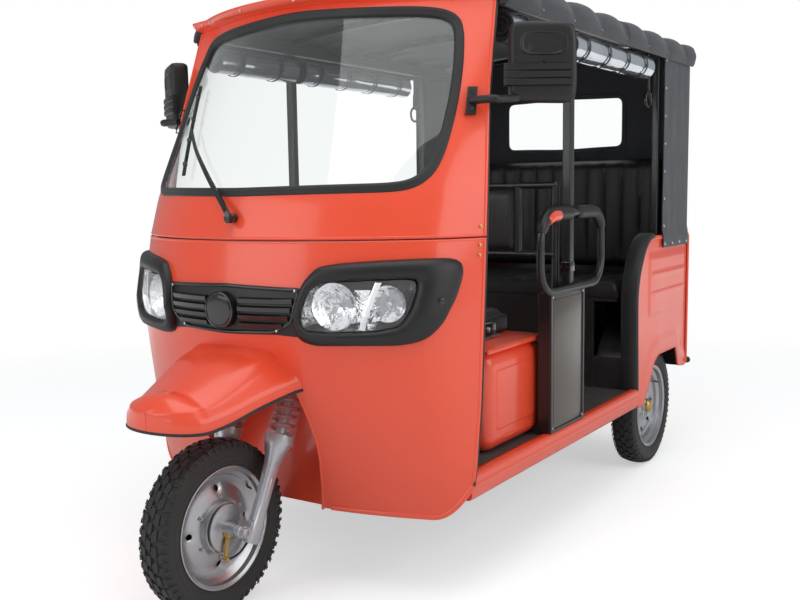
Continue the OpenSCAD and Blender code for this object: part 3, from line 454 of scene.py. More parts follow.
FILM = finish_of("Clear curtain film", (0.70, 0.76, 0.82), rough=0.10, bump=0.25, grain=30, vary=0.25, coat=0.9,
                 coat_rough=0.05, alpha=0.92, metal=0.75, bump_distance=0.004)
WINDOW_FILM = finish_of("Rear window film", (0.95, 0.97, 0.97), rough=0.05, bump=0.0, vary=0.0, transmit=1.0, ior=1.05,
                        rough_vary=0.0)
CHROME = finish_of("Chrome", (0.86, 0.87, 0.88), rough=0.06, metal=1.0, bump=0.02, vary=0.02)
REFLECTOR = finish_of("Lamp reflector", (0.90, 0.90, 0.91), rough=0.07, metal=1.0, bump=0.9, grain=34, vary=0.04,
                      bump_distance=0.007)
STEEL = finish_of("Zinc plated steel", (0.56, 0.56, 0.57), rough=0.30, metal=1.0, bump=0.1, grain=600, vary=0.12)
BRASS = finish_of("Passivated brass arm", (0.62, 0.42, 0.14), rough=0.32, metal=1.0, bump=0.1, vary=0.2)
SILVER = finish_of("Silver wheel paint", (0.50, 0.51, 0.53), rough=0.30, metal=0.85, coat=0.5, bump=0.08, grain=800,
                   vary=0.08, dust=(0.18, 0.0, 0.5, TAN_DUST))
FORK_PAINT = finish_of("Silver fork paint", (0.52, 0.53, 0.56), rough=0.34, metal=0.6, coat=0.6, bump=0.05, vary=0.06)
RED_COIL = finish_of("Red spring paint", (0.42, 0.012, 0.012), rough=0.3, coat=0.7, bump=0.04)
WRAP = finish_of("Clear wrapping film", (0.95, 0.93, 0.93), rough=0.10, bump=0.8, grain=60, vary=0.05, alpha=0.15,
                 bump_distance=0.006)
CAST = finish_of("Cast iron paint", (0.05, 0.05, 0.052), rough=0.6, metal=0.3, bump=0.5, grain=180, vary=0.3,
                 dust=(0.4, 0.1, 0.5, TAN_DUST))
TAIL_RED = finish_of("Red lamp lens", (0.55, 0.008, 0.008), rough=0.12, coat=0.9, bump=0.0, vary=0.05)
AMBER = finish_of("Amber lamp lens", (0.85, 0.24, 0.01), rough=0.12, coat=0.9, bump=0.0, vary=0.05)
PALE_LENS = finish_of("Clear lamp lens", (0.85, 0.86, 0.86), rough=0.12, coat=0.9, bump=0.0, vary=0.03)
CASE = finish_of("Battery case", (0.07, 0.07, 0.075), rough=0.5, bump=0.3, grain=900)
WHITE_BOLT = finish_of("Bright bolt", (0.8, 0.8, 0.79), rough=0.3, metal=0.7, bump=0.05)
PLATE_BLANK = finish_of("Blank number plate", (0.72, 0.72, 0.70), rough=0.35, coat=0.3, bump=0.05, vary=0.05)
MIRROR = finish_of("Mirror glass", (0.92, 0.93, 0.93), rough=0.015, metal=1.0, bump=0.0, vary=0.0, rough_vary=0.0)
print(len(bpy.data.materials), "materials")

# %% [markdown]
# ## The cab's surface
# The steel nose and the windscreen surround are one continuous curved surface: a wide bow seen from above
# that turns a corner into each door edge, with a belly at lamp height and a rake above the seam. A short
# table of sections describes it. `skin` gives any point of it, so every piece that lies on the cab, from the
# rubber seal to the lamp bezels, is built on the same surface and can't drift off it.

# %% Cab sections and the surface function
SECTION_Z = [240, 390, 560, 722, 822, 1010, 1123, 1373, 1640, 1672]
SECTIONS = {
    "nose_y": [255, 190, 130, 85, 65, 90, 128, 268, 417, 432],
    "radius": [1400, 1150, 950, 850, 800, 760, 760, 790, 840, 850],
    "lost": [25, 2, 0, 0, 0, 0, 3, 20, 40, 43],
    "door_y": [390, 392, 418, 430, 438, 452, 464, 503, 587, 596],
}
CORNER_RUN = 90
SEAM_Z = 1010
LIP_Z = 1672
WALL = 22


def section(z, column):
    values = SECTIONS[column]
    z = min(max(z, SECTION_Z[0]), SECTION_Z[-1])
    k = max(i for i in range(len(SECTION_Z) - 1) if SECTION_Z[i] <= z)
    t = (z - SECTION_Z[k]) / (SECTION_Z[k + 1] - SECTION_Z[k])
    return values[k] + (values[k + 1] - values[k]) * t


def plan(z, u, out=0.0):
    """Plan point (x, y) of the cab at height z; u is 0 at the nose, 1 where the corner starts, 2 at the door edge."""
    nose, radius = section(z, "nose_y"), section(z, "radius")
    edge, door = HALF_W - section(z, "lost"), section(z, "door_y")
    start = edge - CORNER_RUN
    reach = math.asin(start / radius)
    side, u = (-1 if u < 0 else 1), abs(u)
    if u <= 1:
        a = u * reach
        return side * (radius + out) * math.sin(a), nose + radius - (radius + out) * math.cos(a)
    x0, y0 = start, nose + radius - math.sqrt(radius ** 2 - start ** 2)
    run = 0.55 * (edge - x0)
    knee = (x0 + run, y0 + min(run * math.tan(reach), (door - y0) / 2))
    t = u - 1
    p = [(1 - t) ** 2 * a + 2 * t * (1 - t) * b + t * t * c for a, b, c in zip((x0, y0), knee, (edge, door))]
    d = [(1 - t) * (b - a) + t * (c - b) for a, b, c in zip((x0, y0), knee, (edge, door))]
    size = math.hypot(*d)
    return side * (p[0] + d[1] / size * out), min(p[1] - d[0] / size * out, door)


def skin(z, u, out=0.0):
    x, y = plan(z, u, out)
    return at(x, y, z)


def across(x, z):
    """The u of a point seen from the front at half width x."""
    low, high = 0.0, 2.0
    for _ in range(30):
        mid = (low + high) / 2
        low, high = (mid, high) if plan(z, mid)[0] < abs(x) else (low, mid)
    return math.copysign((low + high) / 2, x)


def on_skin(x, z, out=0.0):
    return skin(z, across(x, z), out)


def fill_outline(outer, holes, step):
    """Triangles of a flat outline with holes, with a lattice of points inside so that it can bend."""
    rings = [outer] + holes
    verts, edges = [], []
    for ring in rings:
        first = len(verts)
        verts += [Vector(p) for p in ring]
        edges += [(first + i, first + (i + 1) % len(ring)) for i in range(len(ring))]
    low = [min(p[k] for p in outer) for k in (0, 1)]
    high = [max(p[k] for p in outer) for k in (0, 1)]
    counts = [max(1, round((high[k] - low[k]) / step[k])) for k in (0, 1)]
    for i in range(1, counts[0]):
        for j in range(1, counts[1]):
            p = Vector((low[0] + (high[0] - low[0]) * i / counts[0], low[1] + (high[1] - low[1]) * j / counts[1]))
            nearest = min(min((p[0] - q[0]) ** 2 / step[0] ** 2 + (p[1] - q[1]) ** 2 / step[1] ** 2 for q in ring)
                          for ring in rings)
            if nearest > 0.16:
                verts.append(p)
    out = geometry.delaunay_2d_cdt(verts, edges, [], 0, 1e-6)
    points, faces = out[0], out[2]

    def inside(p, ring):
        hit = False
        for a, b in zip(ring, ring[1:] + ring[:1]):
            if (a[1] > p[1]) != (b[1] > p[1]) and p[0] < (b[0] - a[0]) * (p[1] - a[1]) / (b[1] - a[1]) + a[0]:
                hit = not hit
        return hit

    keep = []
    for face in faces:
        middle = sum((points[i] for i in face), Vector((0, 0))) / len(face)
        if inside(middle, outer) and not any(inside(middle, hole) for hole in holes):
            keep.append(tuple(face))
    return points, keep


def dense(ring, step, closed=True):
    """The same outline with extra points, so that it can follow a curved surface."""
    out = []
    pairs = list(zip(ring, ring[1:] + ring[:1])) if closed else list(zip(ring, ring[1:]))
    for a, b in pairs:
        count = max(1, math.ceil(math.hypot((b[0] - a[0]) / step, (b[1] - a[1]) / step)))
        out += [(a[0] + (b[0] - a[0]) * i / count, a[1] + (b[1] - a[1]) * i / count) for i in range(count)]
    if not closed:
        out.append(tuple(ring[-1]))
    return out


def rounded(ring, reach, per=5):
    """An outline whose corners are cut by short curves."""
    out = []
    for i, p in enumerate(ring):
        a, b = Vector(ring[i - 1]), Vector(ring[(i + 1) % len(ring)])
        p = Vector(p)
        start = p + (a - p).normalized() * min(reach, (a - p).length * 0.45)
        end = p + (b - p).normalized() * min(reach, (b - p).length * 0.45)
        for k in range(per + 1):
            t = k / per
            out.append(tuple((1 - t) ** 2 * start + 2 * t * (1 - t) * p + t * t * end))
    return out


def skin_sheet(name, outer, holes, out, thick, material, step=(0.05, 22), body="vehicle", smooth=35, offset=-1):
    """A sheet on the cab's surface. Outlines are rows of (u, height); u is stretched to millimetres to fill them."""
    spread_u = 420
    stretched = [[(u * spread_u, z) for u, z in ring] for ring in [outer] + holes]
    points, faces = fill_outline(stretched[0], stretched[1:], (step[0] * spread_u, step[1]))
    verts = [skin(p[1], p[0] / spread_u, out) for p in points]
    obj = new_object(name, verts, faces, material, body, smooth)
    bm = bmesh.new()
    bm.from_mesh(obj.data)
    middle = max(bm.faces, key=lambda f: f.calc_area())
    if middle.normal.y > 0:
        bmesh.ops.reverse_faces(bm, faces=bm.faces)
    bm.to_mesh(obj.data)
    bm.free()
    if thick:
        modify(obj, "SOLIDIFY", thickness=thick / 1000, offset=offset)
        finish_mesh(obj, material, body, smooth)
    return obj


def to_u(ring):
    """An outline seen from the front, as (u, height)."""
    return [(across(x, z), z) for x, z in ring]


# %% [markdown]
# ## Nose panel
# The lower steel panel is one pressing with a big arch cut for the front wheel and two lamp openings. Filling
# an outline with a triangle lattice and laying it on the surface keeps its edges exact and its face smooth,
# which a boolean cut through a coarse grid would not. A rolled flange runs round the arch and along the
# bottom.

# %% Nose panel
ARCH_HALF = [(166, 236), (190, 320), (208, 400), (211, 450), (207, 500), (200, 545), (190, 590), (182, 630), (174, 660),
             (160, 684), (138, 700)]
LENS = [(240, 794), (246, 834), (260, 880), (287, 901), (388, 906), (478, 908), (497, 903), (499, 884),
        (489, 826), (464, 789), (412, 779), (318, 775), (250, 778)]
BEZEL = [(221, 765), (220, 807), (226, 860), (243, 906), (273, 942), (330, 952), (418, 958), (508, 961), (557, 960),
         (570, 948), (573, 916), (566, 856), (551, 795), (532, 762), (508, 745), (463, 737), (361, 737), (268, 735),
         (236, 745)]


def both_sides(ring):
    return [(-x, z) for x, z in ring] + [(x, z) for x, z in reversed(ring)]


nose_low, nose_high = 240, SEAM_Z - 3
edge_rows = [nose_low + (nose_high - nose_low) * k / 40 for k in range(41)]
foot_u = across(166, 240)


def foot_z(u):
    """The bottom edge is level, then sweeps up to the door edge."""
    return nose_low + 92 * max(0.0, abs(u) - 1.0) ** 2.2


arch = dense([(x, z) for x, z in ARCH_HALF], 24, closed=False)
arch_ring = [(across(x, z), z) for x, z in arch]
foot = [(2 - (2 - foot_u) * k / 26, foot_z(2 - (2 - foot_u) * k / 26)) for k in range(26)]
edge_rows = [foot_z(2) + (nose_high - foot_z(2)) * k / 38 for k in range(39)]
nose_ring = ([(-2 + 4 * k / 60, nose_high) for k in range(61)] + [(2, z) for z in reversed(edge_rows[1:-1])]
             + foot + [(u, max(z, nose_low)) for u, z in arch_ring]
             + [(-u, max(z, nose_low)) for u, z in reversed(arch_ring)]
             + [(-u, z) for u, z in reversed(foot)] + [(-2, z) for z in edge_rows[1:-1]])
lens_holes = [to_u(dense(rounded([(x * s, z) for x, z in LENS], 10), 18)) for s in (1, -1)]
nose = skin_sheet("nose_panel", nose_ring, lens_holes, 0, 3, PAINT, step=(0.045, 20))
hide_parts("front_panel")
print("nose panel", len(nose.data.polygons), "faces")


def skin_bead(name, ring, radius, out, material, closed=True, flat=0.6, body="vehicle"):
    """A rounded bead that follows an outline of (u, height) on the cab."""
    path = [skin(z, u, out) for u, z in ring]
    ups = [(skin(z, u, out + 5) - skin(z, u, out)).normalized() for u, z in ring]
    shape = [(math.cos(2 * math.pi * k / 10), flat * math.sin(2 * math.pi * k / 10)) for k in range(10)]
    return sweep(name, path, radius, material, body, profile=shape, up=ups, closed=closed)


arch_full = [(u, z) for u, z in arch_ring] + [(-u, z) for u, z in reversed(arch_ring)]
flanges = [skin_bead("arch_flange", arch_full, 4.5, -3, PAINT, closed=False, flat=0.9)]
for s in (1, -1):
    hem_line = [(s * min(u, 1.98), z + 6) for u, z in foot]
    flanges.append(skin_bead("foot_flange", hem_line, 8, 0.5, PAINT, closed=False))
    door = [(s * 1.97, z) for z in edge_rows[1:]]
    flanges.append(skin_bead("door_flange", door, 6, -1, PAINT, closed=False))
nose_flanges = join("nose_flanges", flanges, "vehicle")
door_rubber = []
for s in (1, -1):
    path = [skin(335 + (1665 - 335) * k / 80, s * 2, -4) + Vector((0, 0.003, 0)) for k in range(81)]
    door_rubber.append(sweep("door_rubber", path, 5.5, RUBBER, "vehicle", sides=10))
door_rubber = join("door_edge_rubber", door_rubber, "vehicle")

# %% [markdown]
# ## Wheel recess
# Behind the front wheel the steel turns in to make a recess that the fork steers in. Its side walls follow
# the arch, so it is lofted from the arch outline back to the raked rear wall, which is the one flat pressing.

# %% Wheel recess
def well_back(z):
    return 285 + (z - 240) * 0.24


rows = []
for k in range(9):
    t = k / 8
    row = []
    for u, z in arch_full:
        x, y = plan(max(z, 240), u, -2)
        row.append(at(x * (1 - 0.02 * t), y + (well_back(z) - y) * t, z + (6 * t if z > 690 else 0)))
    rows.append(row)
well_side = grid_object("well_side", rows, PAINT, "vehicle", thick=2)
back_verts = []
for k in range(21):
    z = 240 + (700 - 240) * k / 20
    half = 165 + (215 - 165) * min(1, (z - 240) / 160) if z < 400 else 215 - (z - 400) * 0.05 if z < 560 else 207 - (z - 560) * 0.49
    back_verts.append([at(half * (-1 + 2 * j / 12), well_back(z), z) for j in range(13)])
well_wall = grid_object("well_wall", back_verts, PAINT, "vehicle", thick=2)
recess = join("wheel_recess", [well_side, well_wall], "vehicle")
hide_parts("wheel_well")

# %% [markdown]
# ## Windscreen surround, rubber and glass
# The glass is held in a thick black rubber that laps the steel on one side and the glass on the other. The
# same outline, pulled in step by step, gives the steel's opening, the rubber's lip and the glass's edge.

# %% Windscreen
GLASS_LOW, GLASS_TOP, SEAL_W = 1123, 1640, 26
SCREEN_HALF = [(437, 7), (480, 24), (507, 62), (517, 130), (516, 260), (508, 350), (494, 430), (478, 478), (444, 505),
               (380, 517)]


def screen_outline(inset):
    half = [(x, GLASS_LOW + z) for x, z in SCREEN_HALF]
    ring = [Vector(p) for p in [(-x, z) for x, z in half] + [(0, GLASS_TOP + 16)]
            + [(x, z) for x, z in reversed(half)] + [(0, GLASS_LOW)]]
    ring = [Vector(p) for p in rounded([tuple(p) for p in ring], 60, 6)]
    out = []
    for i, p in enumerate(ring):
        a, b = ring[i - 1], ring[(i + 1) % len(ring)]
        along = (b - a).normalized()
        out.append(p + Vector((along.y, -along.x)) * inset)
    return [tuple(p) for p in out]


def screen_ring(inset, step=24):
    return to_u(dense(screen_outline(inset), step))


rise = [SEAM_Z + 3 + (LIP_Z - SEAM_Z - 3) * k / 34 for k in range(35)]
screen_outer = ([(-2 + 4 * k / 60, LIP_Z) for k in range(61)] + [(2, z) for z in reversed(rise[:-1])]
                + [(2 - 4 * k / 60, rise[0]) for k in range(1, 61)] + [(-2, z) for z in rise[1:-1]])
surround = skin_sheet("screen_surround", screen_outer, [screen_ring(4)], 0, 3, PAINT, step=(0.06, 20))
lip_rows = [[skin(LIP_Z, -2 + 4 * k / 72, out) + Vector((0, 0, up / 1000)) for k in range(73)]
            for out, up in ((0, 0), (10, 2), (22, 8), (30, 16), (34, 24), (34, 28), (28, 28), (10, 26), (-6, 26))]
lip = grid_object("roof_lip", lip_rows, PAINT, "vehicle", thick=1.5)
seam_bead = [skin_bead("seam_bead", [(-1.99 + 3.98 * k / 70, z) for k in range(71)], 4, -1.5, PAINT, closed=False)
             for z in (SEAM_Z + 5, SEAM_Z - 6)]
for s in (1, -1):
    seam_bead.append(skin_bead("post_flange", [(s * 1.97, z) for z in rise], 6, -1, PAINT, closed=False))
surround = join("screen_surround_panel", [surround, lip] + seam_bead, "vehicle")
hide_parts("windscreen_panel")

seal_shape = [(-1.0, -0.25), (-1.02, 0.10), (-0.85, 0.42), (-0.35, 0.62), (-0.05, 0.48), (0.05, 0.48), (0.35, 0.60),
              (0.80, 0.36), (1.0, 0.05), (1.0, -0.30), (0.6, -0.45), (-0.6, -0.45)]
seal_ring = screen_ring(SEAL_W / 2, 16)
seal_path = [skin(z, u, -1) for u, z in seal_ring]
seal_up = [(skin(z, u, 6) - skin(z, u, 0)).normalized() for u, z in seal_ring]
seal = sweep("windscreen_rubber", seal_path, SEAL_W / 2 + 1, RUBBER, "vehicle", profile=seal_shape, up=seal_up, closed=True)
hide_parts("windscreen_seal")
glass = skin_sheet("windscreen_glass", screen_ring(SEAL_W - 6), [], -6, 3, SCREEN, step=(0.07, 26))
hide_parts("windscreen")
print("windscreen outline", len(seal_ring), "points")

# %% [markdown]
# Small bright screws hold the roof hem along the lip, and three bolts hold the door edge to its frame.

# %% Screws along the lip and bolts on the door edge
def bolt(name, place, normal, radius, height, material=WHITE_BOLT, body="vehicle", sides=6):
    turn = Vector((0, 0, 1)).rotation_difference(normal.normalized()).to_matrix().to_4x4()
    rows = []
    for r, h in ((1.35, 0), (1.35, 0.25), (1.0, 0.3), (1.0, 0.9), (0.8, 1.0), (0.01, 1.0)):
        rows.append([place + (turn @ Vector((math.cos(2 * math.pi * k / 12) * r * radius / 1000,
                                             math.sin(2 * math.pi * k / 12) * r * radius / 1000, h * height / 1000)))
                     for k in range(12)])
    return grid_object(name, rows, material, body, close_u=True, smooth=30)


screws = []
for k in range(9):
    u = -1.86 + 3.72 * k / 8
    spot = skin(LIP_Z, u, 31) + Vector((0, 0, 0.016))
    screws.append(bolt("lip_screw", spot, skin(LIP_Z, u, 40) - skin(LIP_Z, u, 0), 3.2, 3))
for s in (1, -1):
    for z in (1038, 988, 962):
        spot = skin(z, s * 1.90, 1)
        screws.append(bolt("door_bolt", spot, skin(z, s * 1.9, 10) - skin(z, s * 1.9, 0), 4, 4, BRASS))
lip_screws = join("body_screws", screws, "vehicle")

# %% [markdown]
# ## Lamps
# A lamp is a deep chromed bowl with a bulb, under a clear cover, inside a raised black bezel. The bezel is a
# ring lofted between two outlines: it climbs from the steel, rolls over and drops to the cover. The
# reflector is really two bowls with a slanted divider, so each is turned as its own dish and cut by the cover.

# %% Bezels, covers and reflectors
def ring_loft(name, outer, inner, profile, material, body="vehicle", count=96, smooth=40):
    """A band between two outlines seen from the front; profile gives (share of the way in, height out)."""
    def even(ring):
        ring = [Vector(p) for p in ring]
        lengths = [0]
        for a, b in zip(ring, ring[1:] + ring[:1]):
            lengths.append(lengths[-1] + (b - a).length)
        out = []
        for k in range(count):
            want = lengths[-1] * k / count
            i = max(j for j in range(len(ring)) if lengths[j] <= want)
            a, b = ring[i], ring[(i + 1) % len(ring)]
            out.append(a + (b - a) * ((want - lengths[i]) / max(1e-9, lengths[i + 1] - lengths[i])))
        return out

    outer, inner = even(outer), even(inner)
    shift = min(range(count), key=lambda s: sum((outer[i] - inner[(i + s) % count]).length for i in range(count)))
    rows = []
    for share, out in profile:
        row = []
        for i in range(count):
            p = outer[i].lerp(inner[(i + shift) % count], share)
            row.append(on_skin(p.x, p.y, out))
        rows.append(row)
    return grid_object(name, rows, material, body, close_u=True, smooth=smooth)


def orient(ring):
    area = sum(a[0] * b[1] - b[0] * a[1] for a, b in zip(ring, ring[1:] + ring[:1]))
    return ring if area > 0 else ring[::-1]


bezel_profile = [(0, 0), (0.01, 7), (0.05, 14), (0.14, 20), (0.30, 24), (0.50, 25.5), (0.68, 25), (0.82, 22),
                 (0.90, 17), (0.95, 11), (1.0, 2)]
lamp_parts = {"bezel": [], "cover": [], "bowl": []}
for s in (1, -1):
    outer = orient(rounded([(x * s, z) for x, z in BEZEL], 16, 4))
    inner = orient(rounded([(x * s, z) for x, z in LENS], 12, 4))
    lamp_parts["bezel"].append(ring_loft("bezel", outer, inner, bezel_profile, MOULDED))
    boss = on_skin(540 * s, 852, 25)
    outward = (on_skin(540 * s, 852, 40) - on_skin(540 * s, 852, 10)).normalized()
    lamp_parts["bezel"].append(bolt("bezel_boss", boss, outward, 8, 4, GLOSS_BLACK))
    cover_ring = to_u(dense(orient(rounded([(x * s, z) for x, z in LENS], 12, 4)), 14))
    lamp_parts["cover"].append(skin_sheet("cover", cover_ring, [], 13, 1.5, LAMP_COVER, step=(0.03, 14)))
    well_rows = []
    for out, shrink in ((6, 0.0), (-12, 0.03), (-34, 0.10), (-52, 0.22)):
        row = []
        centre = Vector((370 * s, 840))
        for p in dense(orient(rounded([(x * s, z) for x, z in LENS], 12, 4)), 26):
            q = Vector(p).lerp(centre, shrink)
            row.append(on_skin(q.x, q.y, out))
        well_rows.append(row)
    middle = sum(well_rows[-1], Vector()) / len(well_rows[-1])
    well_rows.append([p.lerp(middle, 0.98) for p in well_rows[-1]])
    lamp_parts["bowl"].append(grid_object("lamp_pan", well_rows, REFLECTOR, "vehicle", close_u=True, smooth=50))
    for x, z, radius in ((322, 840, 62), (444, 846, 48)):
        face = (on_skin(x * s, z, 20) - on_skin(x * s, z, 0)).normalized()
        face = (face + Vector((0, -0.6, 0))).normalized()
        place = on_skin(x * s, z, -4)
        turn = Vector((0, 0, 1)).rotation_difference(face).to_matrix().to_4x4()
        dish_rows = []
        for k in range(13):
            r = radius * k / 12
            depth = -44 + 46 * (r / radius) ** 2
            dish_rows.append([place + turn @ (Vector((math.cos(a), math.sin(a), 0)) * (max(r, 0.5) * (1 + 0.006 * math.cos(9 * a))) / 1000
                                              + Vector((0, 0, (depth + 0.8 * math.cos(9 * a) * (r / radius)) / 1000)))
                              for a in [2 * math.pi * j / 96 for j in range(96)]])
        lamp_parts["bowl"].append(grid_object("dish", dish_rows, REFLECTOR, "vehicle", close_u=True, smooth=20))
        bulb_rows = [[place + turn @ Vector((r / 1000 * math.cos(a), r / 1000 * math.sin(a), h / 1000))
                      for a in [2 * math.pi * j / 20 for j in range(20)]]
                     for r, h in ((7, -44), (7, -26), (9, -22), (9, -14), (7, -8), (3.5, -4), (0.3, -3))]
        lamp_parts["bowl"].append(grid_object("bulb", bulb_rows, STEEL, "vehicle", close_u=True, smooth=40))
    fin_top, fin_foot = (420 * s, 902), (386 * s, 780)
    fin = [[on_skin(fin_top[0] + (fin_foot[0] - fin_top[0]) * k / 8 + w * s, fin_top[1] + (fin_foot[1] - fin_top[1]) * k / 8, out)
            for w, out in ((-8, -30), (-7, 9), (-3, 11), (3, 11), (7, 9), (8, -30))] for k in range(9)]
    lamp_parts["bowl"].append(grid_object("divider", fin, CHROME, "vehicle", smooth=30))
bezels = join("lamp_bezels", lamp_parts["bezel"], "vehicle")
covers = join("lamp_covers", lamp_parts["cover"], "vehicle")
bowls = join("lamp_reflectors", lamp_parts["bowl"], "vehicle")
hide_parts("lamp_fascia")
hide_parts("headlamps")

# %% [markdown]
# ## Grille
# Between the lamps a black moulding carries slats and a round boss. The boss is left blank.

# %% Grille
GRILLE = [(-240, 885), (-224, 888), (0, 895), (224, 888), (240, 885), (226, 860), (221, 800), (228, 757), (164, 762),
          (0, 757), (-164, 762), (-228, 757), (-221, 800), (-226, 860)]
grille_parts = [skin_sheet("grille_back", to_u(dense(GRILLE, 18)), [], 3, 4, MOULDED, step=(0.05, 16))]
frame_path = to_u(dense(rounded([(-232, 882), (0, 890), (232, 882), (214, 800), (160, 768), (0, 763), (-160, 768), (-214, 800)], 18), 14))
grille_parts.append(skin_bead("grille_rim", frame_path, 5, 5, GLOSS_BLACK, flat=0.8))
for s in (1, -1):
    for z, x1 in ((786, 186), (808, 205), (830, 212), (852, 216)):
        slat = []
        for k in range(15):
            x = s * (58 + (x1 - 58) * k / 14)
            lift = (x1 - abs(x)) / (x1 - 58)
            slat.append([on_skin(x, z + dz, out) for dz, out in ((-8, 4), (-6, 10 + 3 * lift), (5, 12 + 3 * lift), (8, 9), (9, 4))])
        grille_parts.append(grid_object("slat", slat, GLOSS_BLACK, "vehicle", smooth=35, caps=True))
    for x, z in ((221, 881), (167, 773)):
        grille_parts.append(bolt("grille_screw", on_skin(x * s, z, 6), Vector((0, -1, 0)), 3.4, 3, WHITE_BOLT))
boss_at = on_skin(0, 824, 0)
boss = [(0.1, -21), (30, -21), (40, -20), (43, -17), (46, -17), (48, -20), (50, -19), (50.5, -14), (50.5, 2)]
grille_parts.append(turned("boss", boss, boss_at, GLOSS_BLACK, "vehicle", axis="y", closed=False, sides=64))
grille = join("grille_moulding", grille_parts, "vehicle")
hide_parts("grille")

# %% [markdown]
# ## Front mudguard
# The mudguard is a hood fixed to the nose: a rounded beak with a turned-down lip, two soft ridges that run up
# to the body, and a rubber edging. A loft through a few sections, split finer by a smooth path, gives it.

# %% Mudguard
GUARD = [(-140, 138, 547, 107, 608, 637), (-80, 155, 560, 118, 634, 660), (10, 176, 586, 125, 682, 699),
         (90, 196, 606, 128, 711, 724), (135, 207, 612, 130, 722, 732)]


def guard_section(y, half, lip_z, top_half, top_z, crown):
    pull = min(1.0, half / 60)
    side = [(half - pull, lip_z), (half, lip_z + 4), (half - 1.5 * pull, lip_z + 22), (half - 5 * pull, lip_z + 34),
            (half - 12 * pull, lip_z + 41), (top_half + (half - top_half) * 0.45, lip_z + 42 + (top_z - lip_z - 42) * 0.45),
            (top_half + 8 * pull, top_z - 2), (top_half, top_z + 2), (top_half * 0.85, top_z + (crown - top_z) * 0.30),
            (top_half * 0.5, top_z + (crown - top_z) * 0.82), (top_half * 0.2, crown - 0.5), (0, crown)]
    return [(-x, z) for x, z in side] + [(x, z) for x, z in reversed(side[:-1])]


columns = [curve_points([Vector(g[i:i + 1] + (0, 0)) for g in GUARD], 6) for i in range(6)]
guard_rows = []
for k in range(14):
    turn = math.radians(90 - 90 * k / 14)
    y, half = -140 - 86 * math.sin(turn), 138 * math.cos(turn) + 0.6
    front = math.sin(turn) ** 2
    guard_rows.append([at(x, y, z) for x, z in guard_section(y, half, 547 + 2 * front, half * 0.775, 608 - 14 * front, 637 - 40 * front ** 1.6)])
for k in range(len(columns[0])):
    y, half, lip_z, top_half, top_z, crown = (columns[i][k].x for i in range(6))
    last = k > len(columns[0]) - 14
    row = []
    for x, z in guard_section(y, half, lip_z, top_half, top_z, crown):
        reach = section(z, "nose_y") + section(z, "radius") - math.sqrt(section(z, "radius") ** 2 - x ** 2)
        share = max(0, (k - (len(columns[0]) - 14)) / 13)
        row.append(at(x, y + (reach - y) * share ** 2, z))
    guard_rows.append(row)
guard = grid_object("mudguard_hood", guard_rows, PAINT, "vehicle", thick=3, smooth=50)
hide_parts("front_mudguard")
edge = [row[0] for row in reversed(guard_rows)] + [row[-1] for row in guard_rows]
edging = sweep("mudguard_rubber", [p + Vector((0, 0.002, -0.003)) for p in edge], 4.5, RUBBER, "vehicle", sides=10)
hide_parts("mudguard_edging")
print("mudguard rows", len(guard_rows))

# %% [markdown]
# ## Wiper
# One arm parks up the glass from a pivot under the rubber. The blade hangs on a rocker at its end.

# %% Wiper
def hook(points, radius, material=GLOSS_BLACK, name="wiper_bar", sides=8, per=6, body="vehicle"):
    return sweep(name, curve_points(points, per), radius, material, body, sides=sides)


flat_bar = [(-1, -0.5), (-0.8, 0.5), (0.8, 0.5), (1, -0.5)]
pivot = skin(GLASS_LOW - 54, 0.02, 0)
wiper_parts = [turned("pivot", [(0.1, -33), (9, -33), (12, -30), (12.5, -18), (14, -16), (14, -2), (0.1, -2)], pivot, GLOSS_BLACK,
                      "vehicle", axis="y", closed=False, sides=32)]
arm = curve_points([pivot + Vector((0.004, -0.028, -0.012)), pivot + Vector((-0.004, -0.029, 0.02)), skin(1160, -0.16, 22),
                    skin(1215, -0.3, 21), skin(1270, -0.46, 17), skin(1330, -0.62, 15)], 6)
ups = [Vector((0.1, -0.9, 0.45)).normalized()] * len(arm)
wiper_parts.append(sweep("arm", arm, [9 - 5 * k / len(arm) for k in range(len(arm))], GLOSS_BLACK, "vehicle", profile=flat_bar, up=ups))
blade = [skin(1190 + 280 * k / 14, -0.5 - 0.28 * k / 14, 11) for k in range(15)]
rubber = [skin(1190 + 280 * k / 14, -0.5 - 0.28 * k / 14, 6.5) for k in range(15)]
wiper_parts.append(sweep("blade", blade, 4.5, GLOSS_BLACK, "vehicle", profile=flat_bar, up=[ups[0]] * 15))
wiper_parts.append(sweep("blade_rubber", rubber, 2.6, RUBBER, "vehicle", sides=6))
for t in (0.12, 0.38, 0.62, 0.88):
    p = skin(1190 + 280 * t, -0.5 - 0.28 * t, 10)
    wiper_parts.append(rounded_box("claw", [p.x * 1000 - 5, (p.y - AXLE.y) * 1000 - 7, p.z * 1000 - 6],
                                   [p.x * 1000 + 5, (p.y - AXLE.y) * 1000 + 5, p.z * 1000 + 6], 2, GLOSS_BLACK, "vehicle"))
wiper = join("wiper_arm_and_blade", wiper_parts, "vehicle")
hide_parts("wiper")

# %% [markdown]
# ## Door mirrors
# A mirror is a cast bracket, a bent arm and a rounded plastic shell with a shallow panel on its face and a
# ribbed root band. The shell is a box whose edges are rounded twice, and the glass sits in its back.

# %% Door mirrors
MIRROR_AT, MIRROR_TURN = (688, 604, 1472), math.radians(35)


